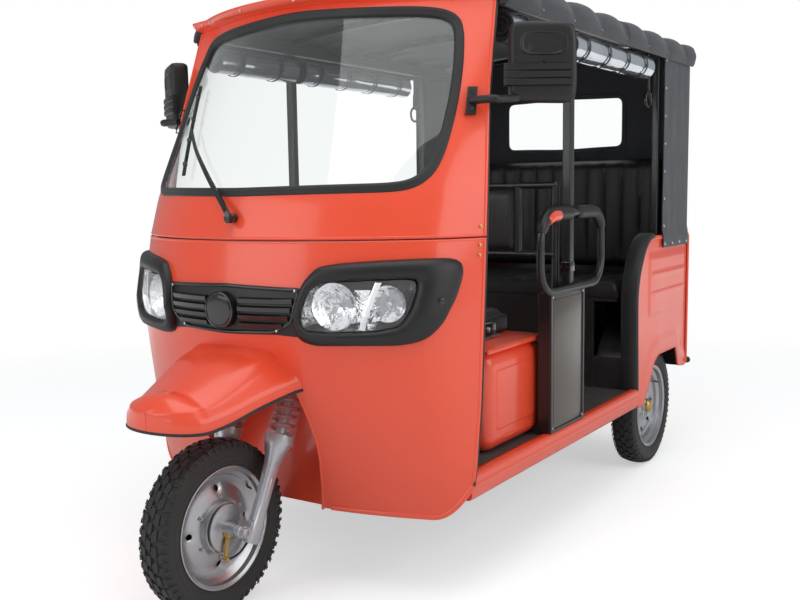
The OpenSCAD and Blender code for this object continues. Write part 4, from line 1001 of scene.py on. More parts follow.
def superbox(name, centre, half, power, material, squeeze=0.0, body="vehicle", turn=None):
    """A soft-edged box: a sphere of directions pushed out to a super-ellipsoid."""
    rows = []
    for i in range(25):
        lat = math.pi * (i / 24 - 0.5)
        row = []
        for j in range(48):
            lon = 2 * math.pi * j / 48
            d = [math.cos(lat) * math.cos(lon), math.cos(lat) * math.sin(lon), math.sin(lat)]
            size = sum(abs(c) ** power for c in d) ** (-1 / power)
            p = [d[k] * size * half[k] for k in range(3)]
            p[0] *= 1 - squeeze * (p[2] / half[2])
            p = Vector(p) / 1000
            row.append(centre + (turn @ p if turn else p))
        rows.append(row)
    return grid_object(name, rows, material, body, close_u=True, smooth=60)


mirror_parts = []
for s in (1, -1):
    turn = Matrix.Rotation(MIRROR_TURN * s, 4, "Z")
    centre = at(MIRROR_AT[0] * s, MIRROR_AT[1], MIRROR_AT[2])

    def on_head(x, y, z):
        return centre + turn @ (Vector((x * s, y, z)) / 1000)

    head_rows = []
    for y, grow in ((-34, 0.86), (-33, 0.93), (-28, 0.98), (-16, 1.0), (8, 1.0), (18, 0.97), (22, 0.93)):
        ring = rounded([(-90, -104), (86, -108), (92, -60), (90, 70), (80, 106), (-74, 108), (-90, 96)], 34, 6)
        head_rows.append([on_head(x * grow, y, z * grow) for x, z in ring])
    face = [[on_head(x * g, -34.5 + 1.5 * (g < 0.3), z * g) for x, z in rounded([(-90, -104), (86, -108), (92, -60), (90, 70), (80, 106), (-74, 108), (-90, 96)], 34, 6)]
            for g in (0.02, 0.5, 0.8)]
    mirror_parts.append(grid_object("mirror_shell", face + head_rows, MOULDED, "vehicle", close_u=True, smooth=40))
    glass_rows = [[on_head(x * g, 20 - 0.5 * g, z * g) for x, z in rounded([(-90, -104), (86, -108), (92, -60), (90, 70), (80, 106), (-74, 108), (-90, 96)], 34, 6)]
                  for g in (0.01, 0.5, 0.93)]
    mirror_parts.append(grid_object("mirror_face", glass_rows, MIRROR, "vehicle", close_u=True, smooth=40))
    pill = [[on_head(62 * math.copysign(abs(math.cos(a)) ** 0.6, math.cos(a)) * g, -35.5 + y, 48 + 30 * math.copysign(abs(math.sin(a)) ** 0.6, math.sin(a)) * g)
             for a in [2 * math.pi * j / 40 for j in range(40)]]
            for g, y in ((1.06, 1.5), (1.0, -1.5), (0.92, -1.0), (0.86, 1.0), (0.4, 1.2), (0.02, 1.2))]
    mirror_parts.append(grid_object("mirror_pill", pill, MOULDED, "vehicle", close_u=True, smooth=35))
    band = []
    for k in range(25):
        z = -64 + 60 * k / 24
        groove = 3.2 * max(0, math.cos(2 * math.pi * 3 * k / 24)) ** 6 if 0 < k < 24 else 5
        band.append([on_head(x, y + groove * (0 if abs(x) > 98 else 1), z) for x, y in
                     ((74, -30), (72, -41), (30, -43.5), (-40, -43.5), (-98, -41), (-107, -36), (-107, -24), (-60, -22))])
    mirror_parts.append(grid_object("mirror_band", band, MOULDED, "vehicle", smooth=30, caps=True, close_u=True))
    foot = [[skin(z, s * u, out) for u in (1.43, 1.5, 1.58, 1.67)] for z, out in ((1333, 1), (1335, 13), (1372, 14), (1409, 13), (1411, 1))]
    mirror_parts.append(grid_object("mirror_foot", foot, MOULDED, "vehicle", thick=3, smooth=40))
    for z in (1350, 1395):
        mirror_parts.append(bolt("foot_screw", skin(z, s * 1.55, 13), skin(z, s * 1.55, 20) - skin(z, s * 1.55, 0), 5, 4, BLACK_STEEL))
    elbow = at(618 * s, 470, 1372)
    arm = curve_points([skin(1372, s * 1.55, 12), elbow + Vector((-0.006 * s, -0.008, 0)), elbow + Vector((0.01 * s, 0.012, 0)),
                        at(648 * s, 560, 1385), on_head(-80, -26, -40)], 6)
    mirror_parts.append(sweep("mirror_arm", arm, 11, MOULDED, "vehicle", sides=14))
mirrors = join("door_mirror_pair", mirror_parts, "vehicle")
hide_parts("door_mirrors")

# %% [markdown]
# ## Tyres
# A small trials-like tyre: a round carcass, a raised shoulder, and blocks in staggered rows with grooves
# between. The carcass is turned from a section. Each block is its own small wedge that follows the crown, so
# the edges of the tread catch the light as real blocks do.

# %% Tyre section, tread and sidewall
TREAD_ROWS = [(-41, -29, 44, 0.0, 4), (-27, -10, 36, 0.5, 4), (-8, 8, 36, 0.0, 4), (10, 27, 36, 0.5, 4), (29, 41, 44, 0.0, 4)]


def tread_radius(x):
    """Outside of the tread at distance x from the middle."""
    a = abs(x)
    return TYRE_R - (0.0035 * a * a if a < 26 else 2.4 + (a - 26) * 0.42)


def tyre_section():
    half = TYRE_W / 2
    side = [(159.5, 36), (163, 38.5), (169, 39.6), (174, 42), (186, 46), (200, half - 0.3), (212, 46.2), (220, 43.5),
            (227, 39), (230.5, 33), (232, 24), (232.8, 12)]
    return [(r, -x) for r, x in side] + [(r, x) for r, x in reversed(side)] + [(158, 30), (158, -30)]


def make_tyre(name, centre, body, node):
    parts = [turned("carcass", tyre_section(), centre, TREAD, body, sides=120, smooth=40)]
    verts, faces = [], []
    for x0, x1, count, phase, depth in TREAD_ROWS:
        for k in range(count):
            a0 = 2 * math.pi * (k + phase) / count
            width = 2 * math.pi / count
            slope = 0.10 if x0 < 0 else -0.10
            first = len(verts)
            for t, drop, pull in ((0.12, depth, 0.0), (0.16, 0, 0.02), (0.80, 0, -0.02), (0.84, depth, 0.0)):
                for side, xx in ((0, x0), (1, x1)):
                    wander = 0.05 * width * (1 if side else -1) * (1 if k % 2 else -1)
                    a = a0 + width * t + wander + slope * side * width
                    x = xx + (0.8 if side == 0 else -0.8) * (drop == 0)
                    r = tread_radius(x) - (drop + 2 if drop else 0)
                    verts.append(centre + Vector((x, r * math.cos(a), r * math.sin(a))) / 1000)
            for j in range(3):
                faces.append((first + 2 * j, first + 2 * j + 1, first + 2 * j + 3, first + 2 * j + 2))
            faces.append((first, first + 2, first + 4, first + 6))
            faces.append((first + 1, first + 7, first + 5, first + 3))
    blocks = new_object("blocks", verts, faces, TREAD, body, 30)
    parts.append(blocks)
    lugs, lug_faces = [], []
    for s in (-1, 1):
        for k in range(60):
            a0 = 2 * math.pi * (k + 0.25 * (s > 0)) / 60
            first = len(lugs)
            for x, r, w in ((41.5, 231.5, 0.55), (46.0, 221, 0.42), (47.2, 209, 0.16)):
                for e in (-1, 1):
                    a = a0 + e * w * math.pi / 60 * (1.0 if k % 2 else 0.75)
                    lugs.append(centre + Vector((s * min(x, TYRE_W / 2), r * math.cos(a), r * math.sin(a))) / 1000)
            lug_faces += [(first, first + 1, first + 3, first + 2), (first + 2, first + 3, first + 5, first + 4)]
    side_lugs = new_object("side_lugs", lugs, lug_faces, TREAD, body, 30)
    modify(side_lugs, "SOLIDIFY", thickness=0.0022, offset=-1)
    finish_mesh(side_lugs, TREAD, body, 30)
    parts.append(side_lugs)
    for s in (-1, 1):
        for r, x in ((178, 43.4), (192, 46.6)):
            ring = [(r - 1.6, s * x), (r - 0.8, s * (x + 1.0)), (r + 0.8, s * (x + 1.3)), (r + 1.6, s * (x + 0.4))]
            ring = [(q, max(-TYRE_W / 2, min(TYRE_W / 2, d))) for q, d in ring]
            parts.append(turned("side_ring", ring, centre, TREAD, body, sides=96, closed=False, smooth=50))
    tyre = join(name, parts, body)
    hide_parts(node)
    return tyre


WHEELS = {"front": (AXLE.copy(), "front_wheel", 1), "left": (at(TRACK / 2, WHEELBASE, TYRE_R), "rear_left_wheel", 1),
          "right": (at(-TRACK / 2, WHEELBASE, TYRE_R), "rear_right_wheel", -1)}
for side, (centre, body, face) in WHEELS.items():
    make_tyre(side + "_tyre_tread", centre, body, side + "_tyre")
print("tyres made")

# %% [markdown]
# ## Rims
# The wheels are pressed steel: a well rim with two flanges, and a dished disc with round lightening holes and
# a raised centre. The disc is a polar grid whose cells are left out where a hole falls, which keeps the
# pressed lip round each hole without a boolean.

# %% Rims
def disc_with_holes(centre, body, face, profile, holes, hole_at, hole_r, material, lip=3.0):
    """A pressed disc; profile gives (radius, distance out) and the holes are round, on one circle."""
    def out_at(r):
        for (r0, x0), (r1, x1) in zip(profile, profile[1:]):
            if r0 <= r <= r1:
                return x0 + (x1 - x0) * (r - r0) / (r1 - r0)
        return profile[-1][1]

    outer = [(profile[-1][0] * math.cos(2 * math.pi * k / 96), profile[-1][0] * math.sin(2 * math.pi * k / 96)) for k in range(96)]
    inner = [(profile[0][0] * math.cos(2 * math.pi * k / 48), profile[0][0] * math.sin(2 * math.pi * k / 48)) for k in range(48)]
    rings = [inner]
    for h in range(holes):
        a = 2 * math.pi * h / holes
        rings.append([(hole_at * math.cos(a) + hole_r * math.cos(b), hole_at * math.sin(a) + hole_r * math.sin(b))
                      for b in [2 * math.pi * k / 24 for k in range(24)]])
    points, faces = fill_outline(outer, rings, (9, 9))
    verts = []
    for p in points:
        r = p.length
        x = out_at(r)
        for h in range(holes):
            a = 2 * math.pi * h / holes
            gap = math.hypot(p.x - hole_at * math.cos(a), p.y - hole_at * math.sin(a)) - hole_r
            if gap < 7:
                x -= lip * (1 - gap / 7) ** 2
        verts.append(centre + Vector((face * x, p.x, p.y)) / 1000)
    disc = new_object("disc", verts, faces, material, body, 40)
    modify(disc, "SOLIDIFY", thickness=0.003, offset=0)
    return finish_mesh(disc, material, body, 35)


BARREL = [(164, -43), (167.3, -42.5), (167.5, -41), (161, -39), (159, -34), (158, -20), (146, -14), (143, -6), (143, 6),
          (146, 14), (158, 20), (159, 34), (161, 39), (167.5, 41), (167.3, 42.5), (164, 43), (156, 39), (155, 24),
          (141, 15), (139.5, 6), (139.5, -6), (141, -15), (155, -24), (156, -39)]


def polar(centre, face, x, r, a):
    return centre + Vector((face * x, r * math.cos(a), r * math.sin(a))) / 1000


def wheel_nut(centre, body, face, x, r, a, size=6, material=STEEL):
    return bolt("wheel_nut", polar(centre, face, x, r, a), Vector((face, 0, 0)), size, 9, material, body)


for side, (centre, body, face) in WHEELS.items():
    parts = [turned("barrel", BARREL, centre, SILVER, body, sides=96, smooth=35)]
    if side == "front":
        for s in (1, -1):
            parts.append(disc_with_holes(centre, body, s, [(30, 14), (64, 16), (76, 20), (96, 15), (118, 8), (134, 12), (141, 16)],
                                         4, 106, 9, SILVER))
        drum = [(10.5, -39), (26, -39), (28, -33), (44, -24), (70, -19), (70, 37), (64, 38.5), (12, 38.5)]
        parts.append(turned("drum", drum, centre, SILVER, body, sides=72, smooth=35))
        for k in range(6):
            parts.append(wheel_nut(centre, body, -1, 21, 52, 2 * math.pi * k / 6))
            parts.append(wheel_nut(centre, body, 1, 20.5, 84, 2 * math.pi * (k + 0.5) / 6, 4.5))
    else:
        parts.append(disc_with_holes(centre, body, face, [(36, 15), (52, 15), (62, 5), (78, -1), (98, 1), (118, 10), (134, 8), (141, 4)],
                                     8, 104, 9, SILVER))
        drum = [(16, -46), (70, -46), (76, -42), (76, -4), (70, 2), (16, 2)]
        parts.append(turned("drum", [(r, x * face) for r, x in drum], centre, CAST, body, sides=72, smooth=35))
        hub = [(15, 0), (44, 0), (44, 9), (40, 16), (30, 18), (27, 22), (26, 31), (24, 33.5), (15, 34)]
        parts.append(turned("hub", [(r, x * face) for r, x in hub], centre, SILVER, body, sides=48, smooth=35))
        cap = [(26.5, 24), (27.5, 26), (26.5, 33), (22, 38.5), (14, 41.5), (0.1, 42.3)]
        parts.append(turned("hub_cap", [(r, x * face) for r, x in cap], centre, BRASS, body, closed=False, sides=48, smooth=50))
        for k in range(5):
            parts.append(wheel_nut(centre, body, face, 15, 47, 2 * math.pi * k / 5, 7, CHROME))
    a = 0.6
    stem = curve_points([polar(centre, 1, 8, 143, a), polar(centre, 1, 20, 141, a), polar(centre, 1, 34, 137, a)], 4)
    parts.append(sweep("valve", stem, [4, 4, 3.6, 3.4, 3.2, 3, 3, 2.6, 2.6], RUBBER, body, sides=10))
    rim_piece = join(side + "_pressed_rim", parts, body)
    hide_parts(side + "_rim")
print("rims made")

# %% [markdown]
# ## Fork, springs and handlebar
# The fork is welded tube. Its legs carry a spring seat each and reach the axle through forged lugs. Pieces
# are built straight up along the steering axis and turned onto the rake at the end. The red coils still wear
# their clear shipping film.

# %% Fork
LEG_X, LEG_Y, CROWN, SEAT, AXLE_S = 95, -8, 455, 352, -60 * math.tan(RAKE)


def up_axis(x, y, s):
    return steered((x, y, s))


def up_turned(name, outline, x, y, material, sides=40, smooth=35, closed=False):
    """A section of (radius, height) turned about a line parallel to the steering axis."""
    rows = [[up_axis(x + r * math.cos(a), y + r * math.sin(a), h) for r, h in outline]
            for a in [2 * math.pi * k / sides for k in range(sides)]]
    verts, faces = grid(rows, close_u=closed, close_v=True)
    return new_object(name, verts, faces, material, "steering", smooth)


def up_box(name, low, high, r, material, segments=3):
    piece = rounded_box(name, [0, 0, 0], [high[k] - low[k] for k in range(3)], r, material, "steering", segments)
    for v in piece.data.vertices:
        p = v.co - at(0, 0, 0)
        v.co = up_axis(*(p[k] * 1000 + low[k] for k in range(3)))
    return piece


fork_parts, coil_parts, wrap_parts = [], [], []
for s in (1, -1):
    x = LEG_X * s
    leg_rows = []
    for h, wide, deep, power in ((AXLE_S - 24, 2, 4, 1), (AXLE_S - 24, 13, 20, 0.6), (AXLE_S - 14, 16, 25, 0.6), (AXLE_S + 30, 17, 26, 0.55),
                                 (AXLE_S + 36, 15, 22, 0.6), (60, 15, 21, 0.6), (120, 15, 22, 0.6), (166, 17, 25, 0.65), (190, 23, 30, 0.8),
                                 (210, 33, 36, 1), (226, 39, 40, 1), (236, 40, 40, 1), (246, 40, 40, 1), (248, 20, 20, 1), (252, 14.5, 14.5, 1),
                                 (CROWN, 14.5, 14.5, 1)):
        leg_rows.append([up_axis(x + wide * math.copysign(abs(math.cos(a)) ** power, math.cos(a)),
                                 LEG_Y + deep * math.copysign(abs(math.sin(a)) ** power, math.sin(a)), h)
                         for a in [2 * math.pi * (k + 0.5) / 44 for k in range(44)]])
    fork_parts.append(grid_object("leg", leg_rows, FORK_PAINT, "steering", close_u=True, smooth=32))
    for h in (60, 150):
        fork_parts.append(up_box("rib", (x - 17, LEG_Y - 7, h), (x + 17, LEG_Y + 7, h + 70), 5, FORK_PAINT))
    lug_rows = []
    for t in [k / 14 for k in range(15)]:
        y = LEG_Y - 2 + (-60 - 22 - LEG_Y + 2) * t
        tall = 24 - 8 * math.sin(math.pi * min(1, t * 1.15)) if t < 0.75 else 16 + 2 * math.sin(math.pi * (t - 0.75) / 0.25)
        tall *= math.sqrt(max(0.03, 1 - max(0, (t - 0.74) / 0.26) ** 2)) if t > 0.74 else 1
        lug_rows.append([up_axis(x + 10.6 * math.copysign(abs(math.cos(a)) ** 0.5, math.cos(a)), y,
                                 AXLE_S + tall * math.copysign(abs(math.sin(a)) ** 0.6, math.sin(a)))
                         for a in [2 * math.pi * j / 20 for j in range(20)]])
    fork_parts.append(grid_object("lug", lug_rows, FORK_PAINT, "steering", close_u=True, caps=True, smooth=35))
    fork_parts.append(bolt("axle_nut", up_axis((LEG_X + 10.6) * s, -60, AXLE_S), Vector((s, 0, 0)), 12, 11, STEEL, "steering"))
    fork_parts.append(bolt("pinch_bolt", up_axis(x, LEG_Y - 16, AXLE_S + 40), Vector((0, -1, 0.5)), 5, 7, STEEL, "steering"))
    coil = []
    turns, steps = 8, 190
    for k in range(steps + 1):
        a = 2 * math.pi * turns * k / steps
        coil.append(up_axis(x + 31 * math.cos(a) * s, LEG_Y + 31 * math.sin(a), 253 + (CROWN - 258) * k / steps))
    coil_parts.append(sweep("coil", coil, 5.6, RED_COIL, "steering", sides=10))
    wrap_rows = []
    for k in range(19):
        h = 222 + (CROWN - 224) * k / 18
        row = []
        for j in range(48):
            a = 2 * math.pi * j / 48
            r = 41 + 2.4 * noise.noise(Vector((x / 30 + 2 * math.cos(a), 2 * math.sin(a), h / 22))) + (0 if h > 250 else 2.5)
            row.append(up_axis(x + r * math.cos(a), LEG_Y + r * math.sin(a), h))
        wrap_rows.append(row)
    wrap_parts.append(grid_object("wrap", wrap_rows, WRAP, "steering", close_u=True, smooth=60))
fork_parts.append(up_box("yoke", (-LEG_X - 22, LEG_Y - 32, CROWN), (LEG_X + 22, LEG_Y + 32, CROWN + 26), 9, FORK_PAINT))
fork_parts.append(up_turned("stem", [(20, CROWN + 20), (20, 800), (0.1, 800)], 0, 0, STEEL))
fork_parts.append(sweep("axle", [at(-LEG_X - 14, 0, TYRE_R), at(LEG_X + 14, 0, TYRE_R)], 9, STEEL, "steering", sides=24))
for x0, x1, r in ((-84, -41, 14), (50, 84, 19)):
    fork_parts.append(sweep("spacer", [at(x0, 0, TYRE_R), at((x0 + x1) / 2, 0, TYRE_R), at(x1, 0, TYRE_R)], r, SILVER, "steering", sides=32))
plate = [(10, 49), (20, 51.5), (30, 51), (44, 49.5), (60, 49.5), (65, 48), (66, 44.5), (60, 44), (10, 44)]
fork_parts.append(turned("brake_plate", plate, AXLE, SILVER, "steering", sides=64, smooth=35))
brake_arm = curve_points([at(57, -8, 226), at(58, -14, 205), at(58, -20, 180), at(58, -20, 158)], 5)
fork_parts.append(sweep("brake_arm", brake_arm, [7] * 6 + [5.5] * 10, BRASS, "steering", profile=[(-1, -0.35), (-1, 0.35), (1, 0.35), (1, -0.35)],
                        up=[Vector((1, 0, 0))] * len(brake_arm)))
for y, z, r in ((-8, 226, 9), (-20, 160, 6)):
    fork_parts.append(bolt("brake_pin", at(52, y, z), Vector((1, 0, 0)), r, 14, BRASS, "steering"))
cable = curve_points([at(60, -20, 158), at(70, 20, 168), at(78, 62, 210), at(84, 100, 270), at(84, 150, 360), at(66, 196, 452),
                      at(40, 232, 540), at(26, 262, 610)], 6)
fork_parts.append(sweep("brake_cable", cable, 3.2, RUBBER, "steering", sides=10))
fork = join("fork_and_axle", fork_parts, "steering")
coils = join("fork_coils", coil_parts, "steering")
wraps = join("spring_wrap", wrap_parts, "steering")
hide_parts("fork")
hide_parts("fork_springs")

# %% Handlebar, grips, levers and switch boxes
bar_parts = [up_box("clamp", (-40, -30, 800), (40, 30, 824), 5, STEEL)]
bar = curve_points([up_axis(*p) for p in [(-190, 23, 848), (-150, 10, 848), (-90, -10, 833), (0, -10, 833), (90, -10, 833), (150, 10, 848), (190, 23, 848)]], 6)
bar_parts.append(sweep("bar", bar, 11, TUBE_BLACK, "steering", sides=16))
for s in (1, -1):
    grip = []
    for k in range(41):
        t = k / 40
        grip.append((up_axis(s * (172 + 128 * t), 17 + 43 * t, 848), 13.6 + 1.1 * (abs(math.sin(math.pi * 12 * t)) > 0.5) + (2 if t > 0.95 else 0)))
    bar_parts.append(sweep("grip", [g[0] for g in grip], [g[1] for g in grip], RUBBER, "steering", sides=20, smooth=60))
    bar_parts.append(up_box("switch_box", (min(s * 128, s * 166), -8, 830), (max(s * 128, s * 166), 38, 866), 8, MOULDED))
    lever = curve_points([up_axis(s * 140, -16, 848), up_axis(s * 175, -24, 846), up_axis(s * 240, -8, 844), up_axis(s * 292, 16, 842)], 6)
    bar_parts.append(sweep("lever", lever, [6 - 2.2 * k / len(lever) for k in range(len(lever))], STEEL, "steering", sides=10))
    for y in (-14, 14):
        bar_parts.append(bolt("clamp_bolt", up_axis(s * 26, y, 822), up_axis(0, 0, 1) - up_axis(0, 0, 0), 5, 6, STEEL, "steering"))
handlebar = join("handlebar_and_controls", bar_parts, "steering")
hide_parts("handlebar")

# %% [markdown]
# ## Canopy and rear canvas
# The canopy is one continuous sheet. Its rows run from the front edge to the back and its columns go from
# one side's hem over the crown to the other. Between the hoops the cloth dips a little, and it rounds over
# the side rails. The rolled hem at the front is a padded tube gathered every few centimetres.

# %% Canopy
ROOF_R, CANVAS_W, SIDE_HEM, DROP = 3300, 580, 1633, 84
ACROSS = 2 * CANVAS_W + 2 * DROP
BOW_Y = (736, 1060, 1560, 2296)


def crown(x):
    return ROOF_TOP - ROOF_R + math.sqrt(ROOF_R ** 2 - x * x)


def front_edge(x):
    return min(598, 1283 - math.sqrt(828 ** 2 - min(abs(x), 820) ** 2))


def canopy_point(s, t, lift=0.0):
    """s runs 0..1 from the left hem to the right hem, t runs 0..1 from the front edge to the back."""
    drop, across_top = DROP, 2 * CANVAS_W
    run = s * (across_top + 2 * drop)
    if run < drop:
        x, z = -CANVAS_W, SIDE_HEM + run
    elif run > drop + across_top:
        x, z = CANVAS_W, SIDE_HEM + (across_top + 2 * drop - run)
    else:
        x, z = -CANVAS_W + (run - drop), None
    y0 = front_edge(x)
    y = y0 + (REAR_Y - y0) * t
    rise = min(1.0, t / 0.07)
    full = crown(x)
    ease = 1 - (1 - rise) ** 2
    low = 1704 - 0.012 * abs(x)
    top = low + (full - low) * ease if full > low else full
    round_over = 44
    edge = CANVAS_W - abs(x)
    puff = abs(math.sin(math.pi * (y - 598) / 232)) ** 0.6 * ease
    if z is None:
        z = top
        if edge < round_over:
            z -= round_over - math.sqrt(max(0.0, round_over ** 2 - (round_over - edge) ** 2))
        dip = min(1, edge / 160)
        nearest = min(abs(y - b) for b in BOW_Y)
        z -= 5.0 * dip * min(1, nearest / 230) ** 1.5 * ease
        z += 1.6 * noise.noise(Vector((x / 210, y / 160, 0.3))) * dip * ease
        near = max(0.0, 1 - edge / 190)
        z += 23 * puff * near ** 1.4
        x += math.copysign(15 * puff * near ** 3, x)
    else:
        shoulder = top - round_over + 23 * puff
        up_share = (z - SIDE_HEM) / drop
        z = SIDE_HEM + (shoulder - SIDE_HEM) * up_share
        bulge = 15 * puff * (up_share ** 0.5 if up_share > 0 else 0) + 3
        x += math.copysign(bulge + 1.2 * noise.noise(Vector((y / 120, z / 60, 4.0))), x)
    return at(x, y, z + lift)


def columns():
    drop, total = DROP, ACROSS
    fine = [drop * k / 5 / total for k in range(5)] + [(drop + 60 * k / 8) / total for k in range(8)]
    middle = [(drop + 60 + (total - 2 * drop - 120) * k / 40) / total for k in range(41)]
    return fine + middle + [1 - f for f in reversed(fine)]


spread = [0, 0.006, 0.014, 0.024, 0.036, 0.05, 0.064] + [0.08 + 0.92 * k / 110 for k in range(111)]
rows = [[canopy_point(s, t) for s in columns()] for t in spread]
canopy = grid_object("canopy_sheet", rows, CANVAS, "vehicle", thick=3, offset=-1, smooth=60)
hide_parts("canopy")

hem = []
for k in range(241):
    s = k / 240
    p = canopy_point(0.058 + 0.884 * s, 0.004)
    gather = abs(math.sin(math.pi * 26 * s)) ** 0.5
    hem.append((p + Vector((0, -0.004, -0.010)), 9.5 + 8.0 * gather + 1.2 * noise.noise(Vector((s * 90, 0, 0)))))
roll = sweep("front_roll", [h[0] for h in hem], [h[1] for h in hem], CANVAS, "vehicle", sides=18, smooth=80)

seams = []
for t_y in BOW_Y[1:3]:
    path = []
    for s in columns()[2:-2]:
        y0 = front_edge(0)
        p = canopy_point(s, (t_y - front_edge(-CANVAS_W + s * ACROSS - DROP)) / (REAR_Y - front_edge(-CANVAS_W + s * ACROSS - DROP)), 1.0)
        path.append(p)
    for shift in (-9, 9):
        seams.append(sweep("bow_seam", [p + Vector((0, shift / 1000, 0)) for p in path], 1.4, THREAD, "vehicle", sides=6))
for s in (0.012, 0.988):
    path = [canopy_point(s, t) for t in spread]
    x_out = math.copysign(0.0012, path[0].x)
    seams.append(sweep("hem_seam", [p + Vector((x_out, 0, 0.012)) for p in path], 1.4, THREAD, "vehicle", sides=6))
for k in range(8):
    t = (k + 0.02) * 232 / (REAR_Y - 598) + 0.002
    for s in (0.0, 1.0):
        p = canopy_point(s, t) + Vector((math.copysign(0.001, s - 0.5), 0, 0.022))
        seams.append(bolt("snap", p, Vector((math.copysign(1, s - 0.5), 0, 0)), 4.2, 3, CHROME))
for k in range(12):
    s = 0.07 + 0.86 * k / 11
    p = canopy_point(s, 0.055, 0.5)
    seams.append(bolt("snap", p, Vector((0, 0, 1)), 4.2, 3, CHROME))
canopy_trim = join("canopy_seams_and_snaps", seams, "vehicle")


# %% [markdown]
# The rear canvas wraps the back of the passenger box: two side valances and a back wall with a rounded window
# of clear film. It is one sheet bent round the corner posts, with a hem bar along its foot.

# %% Rear canvas, window and its binding
def rear_point(run, z):
    """Run is measured along the cloth from the left valance's front edge, round the back, to the right."""
    r, side = 26, 344
    back = 2 * (577 - r)
    arc = math.pi * r / 2
    left = run < side + arc + back / 2
    q = run if left else 2 * side + 2 * arc + back - run
    skirt = 6.0 * max(0.0, min(1.0, (956 - z) / 14))
    fold = 2.6 * math.sin(run / 31 + z / 300) * noise.noise(Vector((run / 90, z / 260, 1.0))) * (1 - skirt / 6)
    if q < side:
        x, y = -577 + fold - skirt, 1980 + q * (REAR_Y - r - 1980) / side
    elif q < side + arc:
        a = (q - side) / r
        x, y = -577 + r - (r + skirt) * math.cos(a), REAR_Y - 3 - r + (r + skirt) * math.sin(a)
    else:
        x, y = -577 + r + (q - side - arc), REAR_Y - 3 + skirt + fold * 0.5
    return at(x if left else -x, y, z)


REAR_RUN = 2 * 344 + math.pi * 26 + 2 * (577 - 26)
window = rounded([(REAR_RUN / 2 - 277, 1311), (REAR_RUN / 2 + 277, 1311), (REAR_RUN / 2 + 277, 1533), (REAR_RUN / 2 - 277, 1533)], 40, 6)
frame_ring = [(0, 893), (REAR_RUN, 893), (REAR_RUN, 1652), (0, 1652)]
points, faces = fill_outline(dense(frame_ring, 18), [dense(window, 18)], (14, 26))
canvas_wall = new_object("rear_canvas_wall", [rear_point(p.x, p.y) for p in points], faces, CANVAS, "vehicle", 60)
modify(canvas_wall, "SOLIDIFY", thickness=0.003, offset=0)
finish_mesh(canvas_wall, CANVAS, "vehicle", 60)
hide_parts("rear_canvas")
points, faces = fill_outline(dense([(x - REAR_RUN / 2, z) for x, z in window], 20), [], (30, 30))
film = new_object("rear_window_film", [at(p.x, REAR_Y - 3 + 0.8 * noise.noise(Vector((p.x / 90, p.y / 70, 0))), p.y) for p in points],
                  faces, WINDOW_FILM, "vehicle", 60)
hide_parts("rear_window")
trims = []
for out, wide in ((-1, 11), (1, 11)):
    path = [at(x - REAR_RUN / 2, REAR_Y - 3 + out * 3.4, z) for x, z in dense(window, 14)]
    middle = at(0, REAR_Y - 3 + out * 3.4, 1422)
    path = [middle + (p - middle) * (1 + wide / 1000 / max(0.05, (p - middle).length)) for p in path]
    trims.append(sweep("window_binding", path, 11, CANVAS, "vehicle", closed=True, up=[Vector((0, 1, 0))] * len(path),
                       profile=[(math.cos(2 * math.pi * k / 12), 0.22 * math.sin(2 * math.pi * k / 12)) for k in range(12)]))
for z in (962, 1640):
    trims.append(sweep("canvas_seam", [rear_point(REAR_RUN * (k + 0.5) / 140, z) + Vector((0, 0.0022, 0)) for k in range(139)],
                       1.6, THREAD, "vehicle", sides=6))
for s in (1, -1):
    for k in range(7):
        spot = at(s * 580.5, 1992 + (k % 1), 980 + 108 * k)
        trims.append(bolt("canvas_snap", spot, Vector((s, 0, 0)), 5, 3, CHROME))
gusset = [[at(x, REAR_Y - 9 - 3 * k, 1636 + (crown(x) - 12 - 1636) * k / 3) for x in [-574 + 1148 * j / 40 for j in range(41)]] for k in range(4)]
trims.append(grid_object("top_gusset", gusset, CANVAS, "vehicle", thick=1.5, smooth=60))
for s in (1, -1):
    side_gusset = [[at(s * (574 - 0.5 * k), y, 1640 + 17 * k) for y in [1982 + 330 * j / 8 for j in range(9)]] for k in range(4)]
    trims.append(grid_object("side_gusset", side_gusset, CANVAS, "vehicle", thick=1.5, smooth=60))
binding = join("window_and_hem_binding", trims, "vehicle")

# %% [markdown]
# ## Rolled side curtains and hanging rings
# The door curtains are clear film rolled up under each side rail. A roll is a spiral sheet: it is one sheet
# wound three times, so its end shows the spiral. Black straps hold each roll.

# %% Curtain rolls
def spiral_roll(name, x, y0, y1, z, radius=44, turns=3.4):
    rows = []
    count = max(10, int((y1 - y0) / 14))
    for i in range(count + 1):
        y = y0 + (y1 - y0) * i / count
        row = []
        for k in range(int(turns * 26)):
            a = 2 * math.pi * k / 26
            r = radius - 4.6 * a / (2 * math.pi) - 0.9
            r += 0.9 * noise.noise(Vector((2 * math.cos(a), 2 * math.sin(a) + a, y / 55)))
            squeeze = 1 - 0.05 * math.exp(-min((y - s) ** 2 for s in strap_places(y0, y1)) / 900)
            row.append(at(x - math.copysign(1, x) * r * squeeze * math.cos(a + 0.6), y, z + r * squeeze * math.sin(a + 0.6)))
        rows.append(row)
    return grid_object(name, rows, FILM, "vehicle", smooth=80)


def strap_places(y0, y1):
    count = 2 if y1 - y0 < 500 else 4
    return [y0 + (y1 - y0) * (k + 0.5) / count for k in range(count)]


